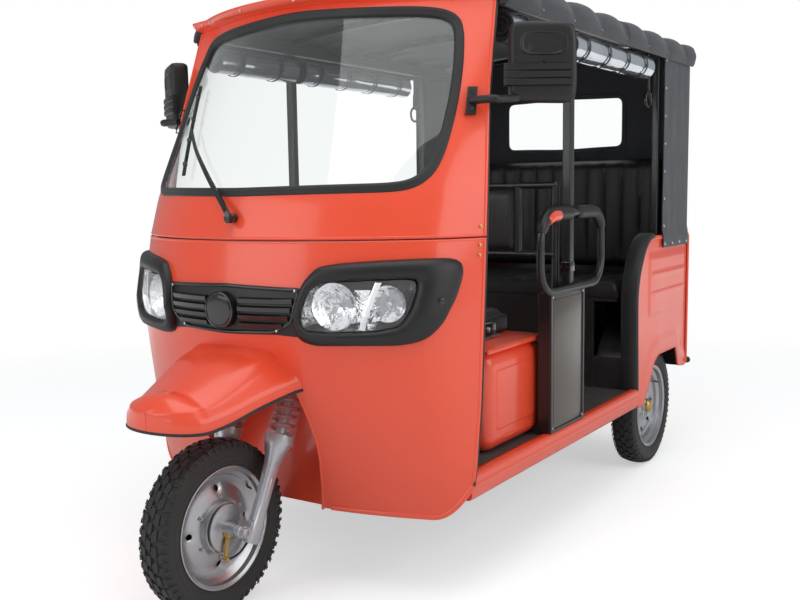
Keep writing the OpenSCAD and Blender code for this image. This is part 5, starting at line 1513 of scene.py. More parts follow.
rolls, straps = [], []
for s in (1, -1):
    for y0, y1 in ((640, 1050), (1094, 1830)):
        rolls.append(spiral_roll("roll", 545 * s, y0, y1, 1586, 46))
        for y in strap_places(y0, y1):
            ring = [at(s * 545 + 45.8 * math.cos(a), y + 10 * math.sin(a), 1586 + 45.8 * math.sin(a)) for a in [2 * math.pi * k / 40 for k in range(40)]]
            straps.append(sweep("strap", ring, 5.5, WEBBING, "vehicle", closed=True, up=[Vector((0, 1, 0))] * 40,
                                profile=[(0.2, -1), (0.2, 1), (-0.1, 1), (-0.1, -1)]))
            straps.append(rounded_box("buckle", (s * 590 - 3, y - 8, 1574), (s * 590 + 1, y + 8, 1588), 2, GLOSS_BLACK, "vehicle"))
        for y, end in ((y0, -1), (y1, 1)):
            path = []
            for k in range(70):
                a = 2 * math.pi * 2.6 * k / 69
                r = 43 - 14 * a / (2 * math.pi)
                path.append(at(s * 545 - s * r * math.cos(a + 0.6), y + end * -1.5, 1586 + r * math.sin(a + 0.6)))
            straps.append(sweep("end_binding", path, 3.6, WEBBING, "vehicle", sides=8))
            # A dark cloth disc just inside each roll end is painted shade: it darkens the roll's hollow, and no real
            # part is there.
            straps.append(turned("end_dark", [(0.1, 0), (40, 0), (40, 2), (0.1, 2)], at(s * 545, y + (-end) * 6, 1586), ROLL_END_SHADE, "vehicle",
                                 axis="y", closed=False, sides=32))
curtains = join("curtain_rolls", rolls, "vehicle")
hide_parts("side_curtains")
strap_piece = join("curtain_straps", straps, "vehicle")

rings = []
for s in (1, -1):
    centre = at(s * 538.5, 1905, 1474)
    circle = [centre + Vector((0, 0.030 * math.cos(a), 0.030 * math.sin(a))) for a in [2 * math.pi * k / 40 for k in range(40)]]
    rings.append(sweep("ring", circle, 5, GLOSS_BLACK, "vehicle", closed=True, sides=14))
    rows = [[at(s * (537 + dx), 1896 + 18 * j / 4, z) for j in range(5)]
            for dx, z in ((0, 1646), (0, 1600), (0, 1530), (-2, 1512), (-3, 1503), (0, 1497), (4, 1503), (3.4, 1512), (2.4, 1530), (2.2, 1560))]
    rings.append(grid_object("hanger_strap", rows, WEBBING, "vehicle", thick=1.6, smooth=60))
ring_piece = join("hanging_ring_straps", rings, "vehicle")
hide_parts("hanging_rings")
print("cloth done")

# %% [markdown]
# ## Roof frame and posts
# Square tube carries the roof: two side rails, four posts and thin hoops. The middle post stands on the boxed
# side panel. Square tube is swept with a rounded profile, so its edges catch light.

# %% Roof frame
def square_bar(name, path, half_a, half_b, material, r=0.25, up=None, body="vehicle"):
    """A rounded rectangular tube swept along a straight or bent path."""
    shape = []
    for cx, cy, a0 in ((1, 1, 0), (-1, 1, 90), (-1, -1, 180), (1, -1, 270)):
        for k in range(4):
            a = math.radians(a0 + 30 * k)
            shape.append(((cx * (1 - r) + r * math.cos(a)) * half_a, (cy * (1 - r) + r * math.sin(a)) * half_b))
    return sweep(name, path, 1.0, material, body, profile=shape, up=up, smooth=35)


frame_bars = []
for s in (1, -1):
    frame_bars.append(square_bar("rail", [at(s * 545, 597, 1668), at(s * 545, 1400, 1668), at(s * 545, 2321, 1668)], 13.8, 21.8, TUBE_BLACK))
    for y in (1983, 2309):
        frame_bars.append(square_bar("post", [at(s * 545, y, 941), at(s * 545, y, 1300), at(s * 545, y, 1645)], 12.8, 13.8, TUBE_BLACK))
for y in BOW_Y:
    path = [at(x, y, crown(x) - 21) for x in [-544 + 1088 * k / 40 for k in range(41)]]
    frame_bars.append(square_bar("hoop", path, 11.8, 11.5, TUBE_BLACK, up=[Vector((0, 0, 1))] * 41))
frame_bars.append(square_bar("cross_bar", [at(-531, 2309, 953), at(0, 2309, 953), at(531, 2309, 953)], 12.8, 12.8, TUBE_BLACK))
roof = join("roof_tubes", frame_bars, "vehicle")
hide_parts("roof_frame")

# %% Middle posts on their boxed panels
posts = []
for s in (1, -1):
    posts.append(square_bar("post", [at(s * 565, 1072, 812), at(s * 565, 1072, 1300), at(s * 565, 1072, 1646)], 14.8, 14.8, TUBE_BLACK))
    posts.append(rounded_box("panel", (min(s * 535, s * 577), 913, 364), (max(s * 535, s * 577), 1177, 811), 7, BRONZE, "vehicle", 4))
    posts.append(rounded_box("field", (min(s * 574, s * 578.6), 936, 386), (max(s * 574, s * 578.6), 1154, 790), 2.5, BRONZE, "vehicle", 3))
    for y in (918, 1172):
        posts.append(square_bar("frame_line", [at(s * 576, y, 364), at(s * 576, y, 590), at(s * 576, y, 811)], 4.4, 6, TUBE_BLACK))
    for z in (369, 806):
        posts.append(square_bar("frame_line", [at(s * 576, 914, z), at(s * 576, 1045, z), at(s * 576, 1176, z)], 5, 5, TUBE_BLACK))
    posts.append(rounded_box("front_face", (min(s * 535, s * 576), 911.5, 364), (max(s * 535, s * 576), 914, 811), 1, TUBE_BLACK, "vehicle", 1))
    for y, z in ((926, 798), (926, 378), (1164, 798), (1164, 378)):
        posts.append(bolt("panel_screw", at(s * 578.4, y, z), Vector((s, 0, 0)), 4, 3, STEEL))
    for z in (866, 1560):
        posts.append(rounded_box("post_collar", (min(s * 548, s * 582), 1054, z), (max(s * 548, s * 582), 1090, z + 34), 3, GLOSS_BLACK, "vehicle"))
post_piece = join("middle_posts", posts, "vehicle")
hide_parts("side_posts")

# %% [markdown]
# ## Grab loops
# A passenger steadies on a bent tube beside the door. The hand part is a thick moulded grip with finger
# ribs, and the front upper corner wears a short orange cap.

# %% Grab loops
def loop_path(x):
    y0, y1, z0, z1, r = 806, 1290, 818, 1058, 84
    path = []
    for cy, cz, a0, a1 in ((y0 + r, z0 + r, 270, 180), (y0 + r, z1 - r, 180, 90), (y1 - r, z1 - r, 90, 0), (y1 - r, z0 + r, 0, -90)):
        for k in range(9):
            a = math.radians(a0 + (a1 - a0) * k / 8)
            path.append(at(x, cy + r * math.cos(a), cz + r * math.sin(a)))
    return path


def between(points, low, high):
    """A length of a path, by share of its whole length, resampled evenly."""
    lengths = [0.0]
    for a, b in zip(points, points[1:]):
        lengths.append(lengths[-1] + (b - a).length)
    out = []
    for k in range(49):
        want = lengths[-1] * (low + (high - low) * k / 48)
        i = min(max(j for j in range(len(points)) if lengths[j] <= want + 1e-9), len(points) - 2)
        out.append(points[i].lerp(points[i + 1], (want - lengths[i]) / max(1e-9, lengths[i + 1] - lengths[i])))
    return out


loops = []
for s in (1, -1):
    path = loop_path(s * 592.3)
    loops.append(sweep("loop", path, 11.5, TUBE_BLACK, "vehicle", closed=True, sides=16))
    for low, high in ((0.235, 0.49), (0.53, 0.765)):
        grip = between(path, low, high)
        ends = [min(1.0, 0.72 + 0.28 * math.sin(math.pi / 2 * min(1.0, min(k, 48 - k) / 4))) for k in range(49)]
        loops.append(sweep("grip", grip, [21.5 * e for e in ends], MOULDED, "vehicle", up=[Vector((1, 0, 0))] * 49, smooth=60,
                           profile=[(math.cos(2 * math.pi * k / 20), 0.78 * math.sin(2 * math.pi * k / 20)) for k in range(20)]))
    cap = between(path, 0.285, 0.375)
    loops.append(sweep("cap", cap, [21.5 + 2.6 * math.sin(math.pi * k / 48) ** 0.3 for k in range(49)], PAINT, "vehicle",
                       up=[Vector((1, 0, 0))] * 49, smooth=60,
                       profile=[(0.22 + 0.86 * math.cos(2 * math.pi * k / 20), 0.92 * math.sin(2 * math.pi * k / 20)) for k in range(20)]))
loop_piece = join("grab_handles", loops, "vehicle")
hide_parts("grab_loops")
print("frame and loops done")

# %% [markdown]
# ## Driver's place
# The driver sits on an orange steel box with an embossed front panel and an overhanging rim. The cushion and
# the backrest are padded: crowned closed forms, sewn in channels. The hand brake stands on the box's edge.

# %% Seat box
box_parts = [rounded_box("box", (-517, 613, 357), (517, 989, 658), 40, PAINT, "vehicle", 6),
             rounded_box("rim", (-525, 601, 657), (525, 989, 673.5), 7, PAINT, "vehicle", 4)]
for s in (1, -1):
    box_parts.append(rounded_box("side_field", (min(s * 505, s * 519), 662, 420), (max(s * 505, s * 519), 942, 606), 11, PAINT, "vehicle", 5))
    for z in (392, 400):
        box_parts.append(rounded_box("swage", (min(s * 510, s * 518.6), 700, z - 3), (max(s * 510, s * 518.6), 900, z + 3), 2.5, PAINT, "vehicle"))
box_parts.append(rounded_box("front_field", (-440, 611.2, 420), (440, 622, 606), 10, PAINT, "vehicle", 5))
seat_box = join("seat_box_panels", box_parts, "vehicle")
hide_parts("driver_seat_box")

# %% [markdown]
# Each cushion is a puffed pad: its outline is a rounded rectangle, its height swells between the sewn lines
# and dips into every seam. Piping runs round its edge and thread marks the channels.

# %% Padded forms
def pad(name, low, high, face, channels, puff, material=VINYL, body="vehicle", edge=26, cross=0, nap=1.0):
    """A padded block. Face names the soft side: 'z' for a seat, 'y-' for a backrest that faces the front."""
    size = [high[k] - low[k] for k in range(3)]
    nu, nv = 84, 40
    deep = size[2] if face == "z" else size[1]
    wide, tall = size[0], size[1] if face == "z" else size[2]

    def height(u, v):
        eu = min(u, 1 - u) * wide
        ev = min(v, 1 - v) * tall
        e = min(1.0, eu / edge), min(1.0, ev / edge)
        roll = math.sqrt(max(0, 1 - (1 - e[0]) ** 2)) * math.sqrt(max(0, 1 - (1 - e[1]) ** 2))
        wave = abs(math.sin(math.pi * channels * u)) ** 0.55 if channels else 1
        if cross:
            wave *= 0.35 + 0.65 * abs(math.sin(math.pi * cross * v)) ** 0.5
        bow = math.sin(math.pi * u) ** 0.35 * math.sin(math.pi * v) ** 0.35
        wrinkle = nap * noise.noise(Vector((u * wide / 60, v * tall / 60, deep / 40)))
        return (deep - puff) * (0.35 + 0.65 * roll) + puff * wave * bow * roll + wrinkle * roll

    rows = []
    for i in range(nv + 1):
        v = 0.5 - 0.5 * math.cos(math.pi * i / nv)
        row = []
        for j in range(nu + 1):
            u = 0.5 - 0.5 * math.cos(math.pi * j / nu) if not channels else j / nu
            h = height(u, v)
            x = low[0] + u * wide
            row.append(at(x, low[1] + v * tall, low[2] + h) if face == "z" else at(x, high[1] - h, low[2] + v * tall))
        rows.append(row)
    verts, faces = grid(rows)
    count, m = len(verts), nu + 1
    under = []
    for i in range(nv + 1):
        v = 0.5 - 0.5 * math.cos(math.pi * i / nv)
        for j in range(m):
            u = 0.5 - 0.5 * math.cos(math.pi * j / nu) if not channels else j / nu
            x = low[0] + u * wide
            under.append(at(x, low[1] + v * tall, low[2]) if face == "z" else at(x, high[1], low[2] + v * tall))
    verts += under
    faces += [tuple(count + k for k in reversed(f)) for f in faces]
    rim = [j for j in range(m)] + [i * m + m - 1 for i in range(1, nv + 1)] + [nv * m + j for j in range(m - 2, -1, -1)] + [i * m for i in range(nv - 1, 0, -1)]
    faces += [(a, count + a, count + b, b) for a, b in zip(rim, rim[1:] + rim[:1])]
    return new_object(name, verts, faces, material, body, 70)


def piping(name, low, high, face, radius=4.5, material=VINYL, lift=None):
    r = 30
    if face == "z":
        z = lift if lift is not None else low[2] + (high[2] - low[2]) * 0.35
        ring = rounded([(low[0] + 2, low[1] + 2), (high[0] - 2, low[1] + 2), (high[0] - 2, high[1] - 2), (low[0] + 2, high[1] - 2)], r, 5)
        path = [at(x, y, z) for x, y in dense(ring, 24)]
    else:
        y = lift if lift is not None else low[1] + (high[1] - low[1]) * 0.6
        ring = rounded([(low[0] + 2, low[2] + 2), (high[0] - 2, low[2] + 2), (high[0] - 2, high[2] - 2), (low[0] + 2, high[2] - 2)], r, 5)
        path = [at(x, y, z) for x, z in dense(ring, 24)]
    return sweep(name, path, radius, material, "vehicle", closed=True, sides=10)


def stitches(name, points, gap=9, length=5.5):
    """A row of short threads laid along a path."""
    total = sum((b - a).length for a, b in zip(points, points[1:])) * 1000
    count = int(total / gap)
    verts, faces = [], []
    dense_path = between(points, 0, 1) if len(points) > 2 else [points[0].lerp(points[1], k / 48) for k in range(49)]
    for k in range(count):
        t = (k + 0.5) / count * (len(dense_path) - 1)
        i = min(int(t), len(dense_path) - 2)
        p = dense_path[i].lerp(dense_path[i + 1], t - i)
        along = (dense_path[i + 1] - dense_path[i]).normalized()
        guide = Vector((0, 0, 1)) if abs(along.z) < 0.8 else Vector((0, 1, 0))
        side = along.cross(guide).normalized()
        up = side.cross(along)
        first = len(verts)
        for a in (-1, 1):
            for b, c in ((-1, 0), (0, 1), (1, 0), (0, -1)):
                verts.append(p + along * (a * length / 2000) + side * (b * 0.0008) + up * (c * 0.0008))
        faces += [(first + j, first + (j + 1) % 4, first + 4 + (j + 1) % 4, first + 4 + j) for j in range(4)]
        faces += [(first, first + 3, first + 2, first + 1), (first + 4, first + 5, first + 6, first + 7)]
    return new_object(name, verts, faces, THREAD, "vehicle", 60)


SEAT_LOW, SEAT_HIGH = (-477, 691, 674.5), (357, 1038, 753)
seat = pad("driver_cushion_pad", SEAT_LOW, SEAT_HIGH, "z", 9, 15)
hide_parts("driver_seat")
BACK_LOW, BACK_HIGH = (-376, 1053, 933), (376, 1089, 1133)
back = pad("driver_backrest_pad", BACK_LOW, (BACK_HIGH[0], 1089, BACK_HIGH[2]), "y-", 9, 12)
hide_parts("driver_backrest")
BENCH_LOW, BENCH_HIGH = (-491, 1727, 709.6), (491, 2179, 781)
bench = pad("bench_cushion_pad", BENCH_LOW, BENCH_HIGH, "z", 12, 16)
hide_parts("rear_bench_cushion")
REST_LOW, REST_HIGH = (-491, 2183, 790), (491, 2295, 1254)
rest = pad("bench_backrest_pad", REST_LOW, REST_HIGH, "y-", 12, 22, edge=40)
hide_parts("rear_backrest")
trim = []
for low, high, face in ((SEAT_LOW, SEAT_HIGH, "z"), (BACK_LOW, BACK_HIGH, "y-"), (BENCH_LOW, BENCH_HIGH, "z"), (REST_LOW, REST_HIGH, "y-")):
    trim.append(piping("piping", [low[0] + 3, low[1] + 3, low[2] + 4], [high[0] - 3, high[1] - 3, high[2] - 4], face))
for low, high, channels in ((SEAT_LOW, SEAT_HIGH, 9), (BENCH_LOW, BENCH_HIGH, 12)):
    for k in range(1, channels):
        x = low[0] + (high[0] - low[0]) * k / channels
        deep = high[2] - low[2]
        z = high[2] - (16 if channels == 12 else 15) + 0.9
        trim.append(stitches("stitch", [at(x, low[1] + 30, z), at(x, high[1] - 30, z)]))
for low, high, channels, puff in ((BACK_LOW, BACK_HIGH, 9, 12), (REST_LOW, REST_HIGH, 12, 22)):
    for k in range(1, channels):
        x = low[0] + (high[0] - low[0]) * k / channels
        y = low[1] + puff - 0.9
        trim.append(stitches("stitch", [at(x, y, low[2] + 30), at(x, y, high[2] - 30)]))
seat_trim = join("seat_piping_and_stitches", trim, "vehicle")
print("seats", [len(o.data.polygons) for o in (seat, back, bench, rest)])

# %% [markdown]
# ## Cabin fittings
# The partition is bent tube; the hand brake is a ratchet lever with a knob; the dashboard is
# one moulding with a blank gauge; the floor mat is ribbed rubber.

# %% Partition, hand brake, dashboard, mat
bars = []
tube = 11.8
for s in (1, -1):
    bars.append(sweep("post", [at(s * 522, 1072, 357), at(s * 522, 1072, 760), at(s * 522, 1072, 1146)], tube, TUBE_BLACK, "vehicle", sides=18))
    bars.append(sweep("post", [at(s * 389, 1072, 920), at(s * 389, 1072, 1146)], tube, TUBE_BLACK, "vehicle", sides=18))
for z in (920, 1146):
    bars.append(sweep("rail", [at(-522, 1072, z), at(0, 1072, z), at(522, 1072, z)], tube, TUBE_BLACK, "vehicle", sides=18))
for s in (1, -1):
    bars.append(rounded_box("foot", (min(s * 498, s * 532), 1050, 356.5), (max(s * 498, s * 532), 1083, 364), 2, STEEL, "vehicle"))
partition = join("partition_tubes", bars, "vehicle")
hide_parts("partition")

brake = [rounded_box("cover", (360, 700, 674.5), (398, 980, 732), 14, MOULDED, "vehicle", 4),
         rounded_box("quadrant", (398, 722, 674.5), (418, 858, 722), 8, GLOSS_BLACK, "vehicle", 4),
         rounded_box("base", (384, 721, 674.5), (432, 859, 682), 3, STEEL, "vehicle")]
lever = [at(408, 790, 716), at(408, 740, 710), at(408, 690, 704)]
brake.append(sweep("lever", lever, 8, STEEL, "vehicle", sides=14))
grip_line = [at(408, 690 - 70 * k / 20, 704 - 8 * k / 20) for k in range(21)]
brake.append(sweep("grip", grip_line, [8] + [11.4 + 1.2 * math.sin(k * 2.1) for k in range(1, 19)] + [12, 8], GLOSS_BLACK, "vehicle", sides=18, smooth=60))
brake.append(bolt("pivot", at(418, 800, 702), Vector((1, 0, 0)), 7, 8, STEEL))
hand_brake = join("hand_brake_lever", brake, "vehicle")
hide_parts("hand_brake")

rows = []
profile = [(0.0, 880), (0.0, 884), (-12, 900), (-16, 940), (-14, 972), (-4, 992), (12, 1003), (40, 1007), (90, 1007.5)]
for k in range(61):
    u = -1.30 + 2.60 * k / 60
    row = []
    for back, z in profile:
        x, y = plan(z, u, -24)
        limit = 350 + back
        row.append(at(x, limit if back < 60 else min(limit, y + 3), z))
    rows.append(row)
dash_low, dash_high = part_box("dashboard")
dash = [rounded_box("dash_face", (-430, 318, 884), (430, 349, 1004), 14, MOULDED, "vehicle", 5)]
for x, r in ((0, 46), (-120, 22), (120, 22)):
    ring = [(r - 6, 0), (r - 6, -3), (r - 2, -7), (r + 3, -7), (r + 6, -3), (r + 6, 0)]
    dash.append(turned("gauge_ring", [(q, -d) for q, d in ring], at(x, 348, 948), GLOSS_BLACK, "vehicle", axis="y", sides=48, smooth=50))
    dash.append(turned("gauge_face", [(0.1, 1.5), (r - 5, 1.5), (r - 5, 0.5)], at(x, 348, 948), MOULDED, "vehicle", axis="y", closed=False, sides=40))
for x in (-210, -240, 210, 240):
    dash.append(rounded_box("switch", (x - 10, 347, 938), (x + 10, 354, 958), 2, GLOSS_BLACK, "vehicle"))
dash_trim = join("dashboard_face", dash, "vehicle")
print("cabin fittings done")

# %% [markdown]
# ## Floor, mat, sills and body sides
# The mat is a ribbed sheet. Each sill is a rolled channel with a tread plate line. The rear quarter is one
# pressing: a flat side with three embossed ribs, a flared wheel arch and a rolled edge.

# %% Floor mat and sills
mat_low, mat_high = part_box("floor_mat")
print("mat", [round(v, 3) for v in (*mat_low, *mat_high)])
ribs = []
for k in range(24):
    x = -420 + 840 * k / 23
    ribs.append(rounded_box("rib", (x - 5, 560, 354.5), (x + 5, 606, 358.2), 1.5, MAT_RUBBER, "vehicle", 1))
    if abs(x) < 370:
        ribs.append(rounded_box("rib", (x - 5, 1100, 354.5), (x + 5, 1690, 358.2), 1.5, MAT_RUBBER, "vehicle", 1))
mat_ribs = join("mat_ribs", ribs, "vehicle")

sill_shape = [(55, 330), (55, 351), (53, 358), (48, 363), (26, 363), (20, 358), (18, 349), (18, 302), (22, 293), (30, 290),
              (50, 294), (54, 300)]
sills = []
for s in (1, -1):
    rows = []
    for k in range(31):
        y = 393 + (1719 - 393) * k / 30
        rows.append([at(s * (HALF_W - d), y, z - 0.6 if z > 360 else z) for d, z in sill_shape])
    sills.append(grid_object("sill", rows, PAINT, "vehicle", close_u=True, caps=True, smooth=50))
    path = [at(s * (HALF_W - 18.5), 400 + 1310 * k / 30, 326) for k in range(31)]
    sills.append(sweep("swage", path, 5, PAINT, "vehicle", profile=[(math.cos(2 * math.pi * k / 12) * 0.5, math.sin(2 * math.pi * k / 12) * 2) for k in range(12)],
                       up=[Vector((0, 0, 1))] * 31))
sill_piece = join("sill_channels", sills, "vehicle")
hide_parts("sills")

# %% Rear quarters
QUARTER = [(1720, 290), (1720, 363), (1704, 711), (1716, 778), (1742, 838), (1780, 892), (1826, 928), (1872, 940), (2306, 940), (2306, 368), (2270, 372), (2214, 380),
           (2180, 466), (1956, 466), (1903, 443), (1853, 375), (1784, 297), (1760, 290)]


def arch_distance(y, z):
    """How far a point is from the wheel arch's edge."""
    edge = [(2270, 372), (2214, 380), (2180, 466), (1956, 466), (1903, 443), (1853, 375), (1784, 297)]
    best = 1e9
    for a, b in zip(edge, edge[1:]):
        d = (b[0] - a[0], b[1] - a[1])
        t = max(0, min(1, ((y - a[0]) * d[0] + (z - a[1]) * d[1]) / (d[0] ** 2 + d[1] ** 2)))
        best = min(best, math.hypot(y - a[0] - t * d[0], z - a[1] - t * d[1]))
    return best


def quarter_out(y, z):
    """How far the pressing stands out at a point: embossed ribs, and a flare round the arch."""
    out = 0.0
    field = min(y - 1838, 2290 - y, z - 628, 872 - z)
    if field > 0:
        out += 3.6 * min(1.0, field / 9)
        for z0 in (712, 790):
            out += 3.0 * max(0.0, 1 - ((z - z0) / 7) ** 2) * min(1.0, max(0.0, y - 1860) / 20)
    reach = arch_distance(y, z)
    if reach < 96:
        out += 5.5 * (0.5 + 0.5 * math.cos(math.pi * min(1.0, max(0.0, (reach - 34) / 58))))
    return out


quarters = []
for s in (1, -1):
    ring = dense(rounded(QUARTER, 12, 3), 14)
    points, faces = fill_outline(ring, [], (11, 9))
    verts = [at(s * (573.5 + quarter_out(p.x, p.y)), p.x, p.y) for p in points]
    side = new_object("quarter", verts, faces, PAINT, "vehicle", 40)
    modify(side, "SOLIDIFY", thickness=0.003, offset=0)
    finish_mesh(side, PAINT, "vehicle", 35)
    quarters.append(side)
    edge = [at(s * (572 + quarter_out(y, z)), y, z) for y, z in ring]
    quarters.append(sweep("rolled_edge", edge, 4.5, PAINT, "vehicle", closed=True, sides=10))
    quarters.append(rounded_box("top_rail", (min(s * 557, s * 579), 1842, 928), (max(s * 557, s * 579), 2305, 940), 4, PAINT, "vehicle"))
    for k in range(4):
        quarters.append(bolt("side_snap", at(s * 584.3, 1996 + 94 * k, 908), Vector((s, 0, 0)), 5, 3, CHROME))
    house = [(-272, 350), (-262, 470), (-205, 560), (-120, 600), (120, 600), (205, 560), (262, 470), (272, 350)]
    house = dense(rounded(house, 60, 5)[3:-3], 30, closed=False)
    rows = [[at(s * x, 2000 + y, z) for y, z in house] for x in (401, 440, 480, 520, 560, 572)]
    quarters.append(grid_object("wheel_house", rows, BLACK_STEEL, "vehicle", thick=2, smooth=60))
    inner = [(y, z) for y, z in house]
    points, faces = fill_outline([(2000 + y, z) for y, z in inner], [], (40, 40))
    quarters.append(new_object("house_wall", [at(s * 402, p.x, p.y) for p in points], faces, BLACK_STEEL, "vehicle"))
quarter_piece = join("rear_quarter_pressings", quarters, "vehicle")
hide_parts("quarter_panels")
FRONT_EDGE = curve_points([Vector(p) for p in ((0, 1714, 294), (0, 1714, 363), (0, 1704, 560), (0, 1700, 711), (0, 1716, 790),
                                               (0, 1748, 852), (0, 1790, 906), (0, 1836, 936), (0, 1888, 947))], 7)
bands = []
for s in (1, -1):
    rows = []
    for k, p in enumerate(FRONT_EDGE):
        along = (FRONT_EDGE[min(k + 1, len(FRONT_EDGE) - 1)] - FRONT_EDGE[max(k - 1, 0)]).normalized()
        out = Vector((0, -along.z, along.y))
        rows.append([at(s * x, p.y + out.y * d, p.z + out.z * d)
                     for x, d in ((518, -6), (515, -3), (515, 4), (519, 8), (546, 9.5), (573, 8), (579, 4), (581, -4), (580, -10), (577, -12),
                                  (576, -7), (570, -5))])
    bands.append(grid_object("front_band", rows, RUBBER, "vehicle", close_u=True, caps=True, smooth=50))
band_piece = join("quarter_front_edging", bands, "vehicle")
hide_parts("door_edging")
print("quarters", len(quarter_piece.data.polygons))

# %% [markdown]
# ## Rear panel, blank plate, lamps and bumper
# The plate is blank. Each tail lamp is one housing with three lenses. The bumper is a bent rod.

# %% Rear
rear = []
ring = dense(rounded([(-579, 369), (579, 369), (579, 939), (-579, 939)], 16, 4), 30)
points, faces = fill_outline(ring, [], (28, 24))


def rear_out(x, z):
    swell = 0.0
    for x0, x1, z0, z1 in ((-420, 420, 640, 880), (-420, 420, 420, 560)):
        inside = min(x - x0, x1 - x, z - z0, z1 - z)
        swell += 4.5 * max(0.0, 1 - (abs(inside - 12) / 12) ** 2) if -2 < inside < 26 else 0
    return swell


panel = new_object("panel", [at(p.x, REAR_Y - 6 + rear_out(p.x, p.y), p.y) for p in points], faces, PAINT, "vehicle", 40)
modify(panel, "SOLIDIFY", thickness=0.003, offset=0)
rear.append(finish_mesh(panel, PAINT, "vehicle", 35))
rear.append(sweep("rolled_edge", [at(x, REAR_Y - 8, z) for x, z in ring], 6, PAINT, "vehicle", closed=True, sides=10))
rear.append(rounded_box("lining", (-560, REAR_Y - 15, 376), (560, REAR_Y - 11, 930), 1, BLACK_STEEL, "vehicle"))
rear.append(rounded_box("kick_wall", (-569, 1722, 292), (569, 1726, 478), 1, BLACK_STEEL, "vehicle"))
rear.append(rounded_box("plate_bracket", (-170, REAR_Y - 4, 540), (170, REAR_Y + 2, 660), 3, BLACK_STEEL, "vehicle"))
rear.append(rounded_box("plate", (-160, REAR_Y + 1, 546), (160, REAR_Y + 4, 654), 1.4, PLATE_BLANK, "vehicle"))
for x in (-120, 120):
    rear.append(bolt("plate_bolt", at(x, REAR_Y + 4, 600), Vector((0, 1, 0)), 4.5, 3.5, STEEL))
for x in (-500, -250, 0, 250, 500):
    rear.append(bolt("panel_snap", at(x, REAR_Y + 4.3, 908), Vector((0, 1, 0)), 5, 3, CHROME))
rear_panel = join("rear_body_panel", rear, "vehicle")
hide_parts("rear_panel")

lamps = []
for s in (1, -1):
    x0, x1 = min(s * 455, s * 555), max(s * 455, s * 555)
    lamps.append(rounded_box("housing", (x0, REAR_Y + 0.5, 690), (x1, REAR_Y + 12, 860), 9, MOULDED, "vehicle", 4))
    for z0, z1, lens in ((697, 745, PALE_LENS), (749, 801, AMBER), (805, 853, TAIL_RED)):
        lamps.append(rounded_box("lens", (x0 + 7, REAR_Y + 4, z0), (x1 - 7, REAR_Y + 19.5, z1), 7, lens, "vehicle", 4))
tail = join("tail_lamp_clusters", lamps, "vehicle")
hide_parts("tail_lamps")

ends = []
for s in (1, -1):
    ends.append(sweep("bumper_end", [at(s * x, y, 384) for x, y in ((540, 2341), (560, 2341), (574, 2338), (584, 2332), (588, 2326))],
                      [11.5, 13, 14, 14, 11], RUBBER, "vehicle", sides=16, smooth=60))
end_piece = join("bumper_ends", ends, "vehicle")
bumper_low, bumper_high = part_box("rear_bumper")
print("bumper", [round(v, 3) for v in (*bumper_low, *bumper_high)])

# %% [markdown]
# ## Underneath
# Springs, axle and battery are seen from low down. The motor is finned, the leaves are held by clips.

# %% Axle, motor and leaf springs
axle_y, axle_z = WHEELBASE, TYRE_R
casing = [(0.1, -434.5), (28, -434.5), (28, -420), (26, -400), (26, -260), (34, -252), (74, -248), (74, -72), (80, -70),
          (92, -66), (92, 86), (84, 90), (34, 94), (27, 110), (26, 400), (28, 420), (28, 434.5), (0.1, 434.5)]
axle_parts = [turned("casing", casing, at(0, axle_y, axle_z), CAST, "vehicle", closed=False, sides=48, smooth=35)]
for k in range(22):
    a = 2 * math.pi * k / 22
    low, high = at(-230, axle_y + 70 * math.cos(a), axle_z + 70 * math.sin(a)), at(-90, axle_y + 70 * math.cos(a), axle_z + 70 * math.sin(a))
    up = Vector((0, math.cos(a), math.sin(a)))
    axle_parts.append(sweep("fin", [low, (low + high) / 2, high], 5, CAST, "vehicle", profile=[(-0.3, -1), (0.3, -1), (0.3, 1.1), (-0.3, 1.1)], up=[up] * 3))
for s in (1, -1):
    axle_parts.append(turned("brake_plate", [(20, 428.5 * s), (82, 428.5 * s), (82, 434.5 * s), (20, 434.5 * s)], at(0, axle_y, axle_z), STEEL, "vehicle", sides=48))
    axle_parts.append(turned("stub", [(0.1, 434 * s), (14, 434 * s), (14, 534 * s), (0.1, 534 * s)], at(0, axle_y, axle_z), STEEL, "vehicle", closed=False, sides=24))
axle_piece = join("rear_axle_and_motor", axle_parts, "vehicle")
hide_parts("rear_axle")
spring_low, spring_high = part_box("leaf_springs")
print("leaf springs", [round(v, 3) for v in (*spring_low, *spring_high)])
clips = []
for s in (1, -1):
    for y in (-24, 24):
        clips.append(rounded_box("clip", (s * 330 - 25, axle_y + y - 5, axle_z - 34), (s * 330 + 25, axle_y + y + 5, axle_z + 36), 3, STEEL, "vehicle"))
clip_piece = join("spring_clips", clips, "vehicle")

# %% [markdown]
# ## CAD pieces that stay as they are
# Rails, floors, covers and springs are plain folded steel in life too, so their CAD meshes are kept and only
# dressed. Each one gets the finish that its place calls for.

# %% Dress the kept CAD pieces
KEPT = {"chassis_frame": BLACK_STEEL, "floor_plate": BLACK_STEEL, "floor_mat": MAT_RUBBER,
        "dashboard": MOULDED, "battery_pack": CASE, "leaf_springs": CAST, "rear_bumper": TUBE_BLACK,
        "rear_bench_base": BLACK_STEEL}
left = []
for obj in bpy.data.objects:
    if obj.type != "MESH" or not obj.visible_get() and False:
        continue
    if obj.name in KEPT:
        obj.data.materials.clear()
        obj.data.materials.append(KEPT[obj.name])

# %% [markdown]
# ## Camera, light and floor
# One long-ish lens from the front left, at standing eye height, a little above the belt. Soft studio light: a
# big box overhead, a broad front box and a weaker fill. The floor keeps the shadow and the backdrop is white
# to the camera.

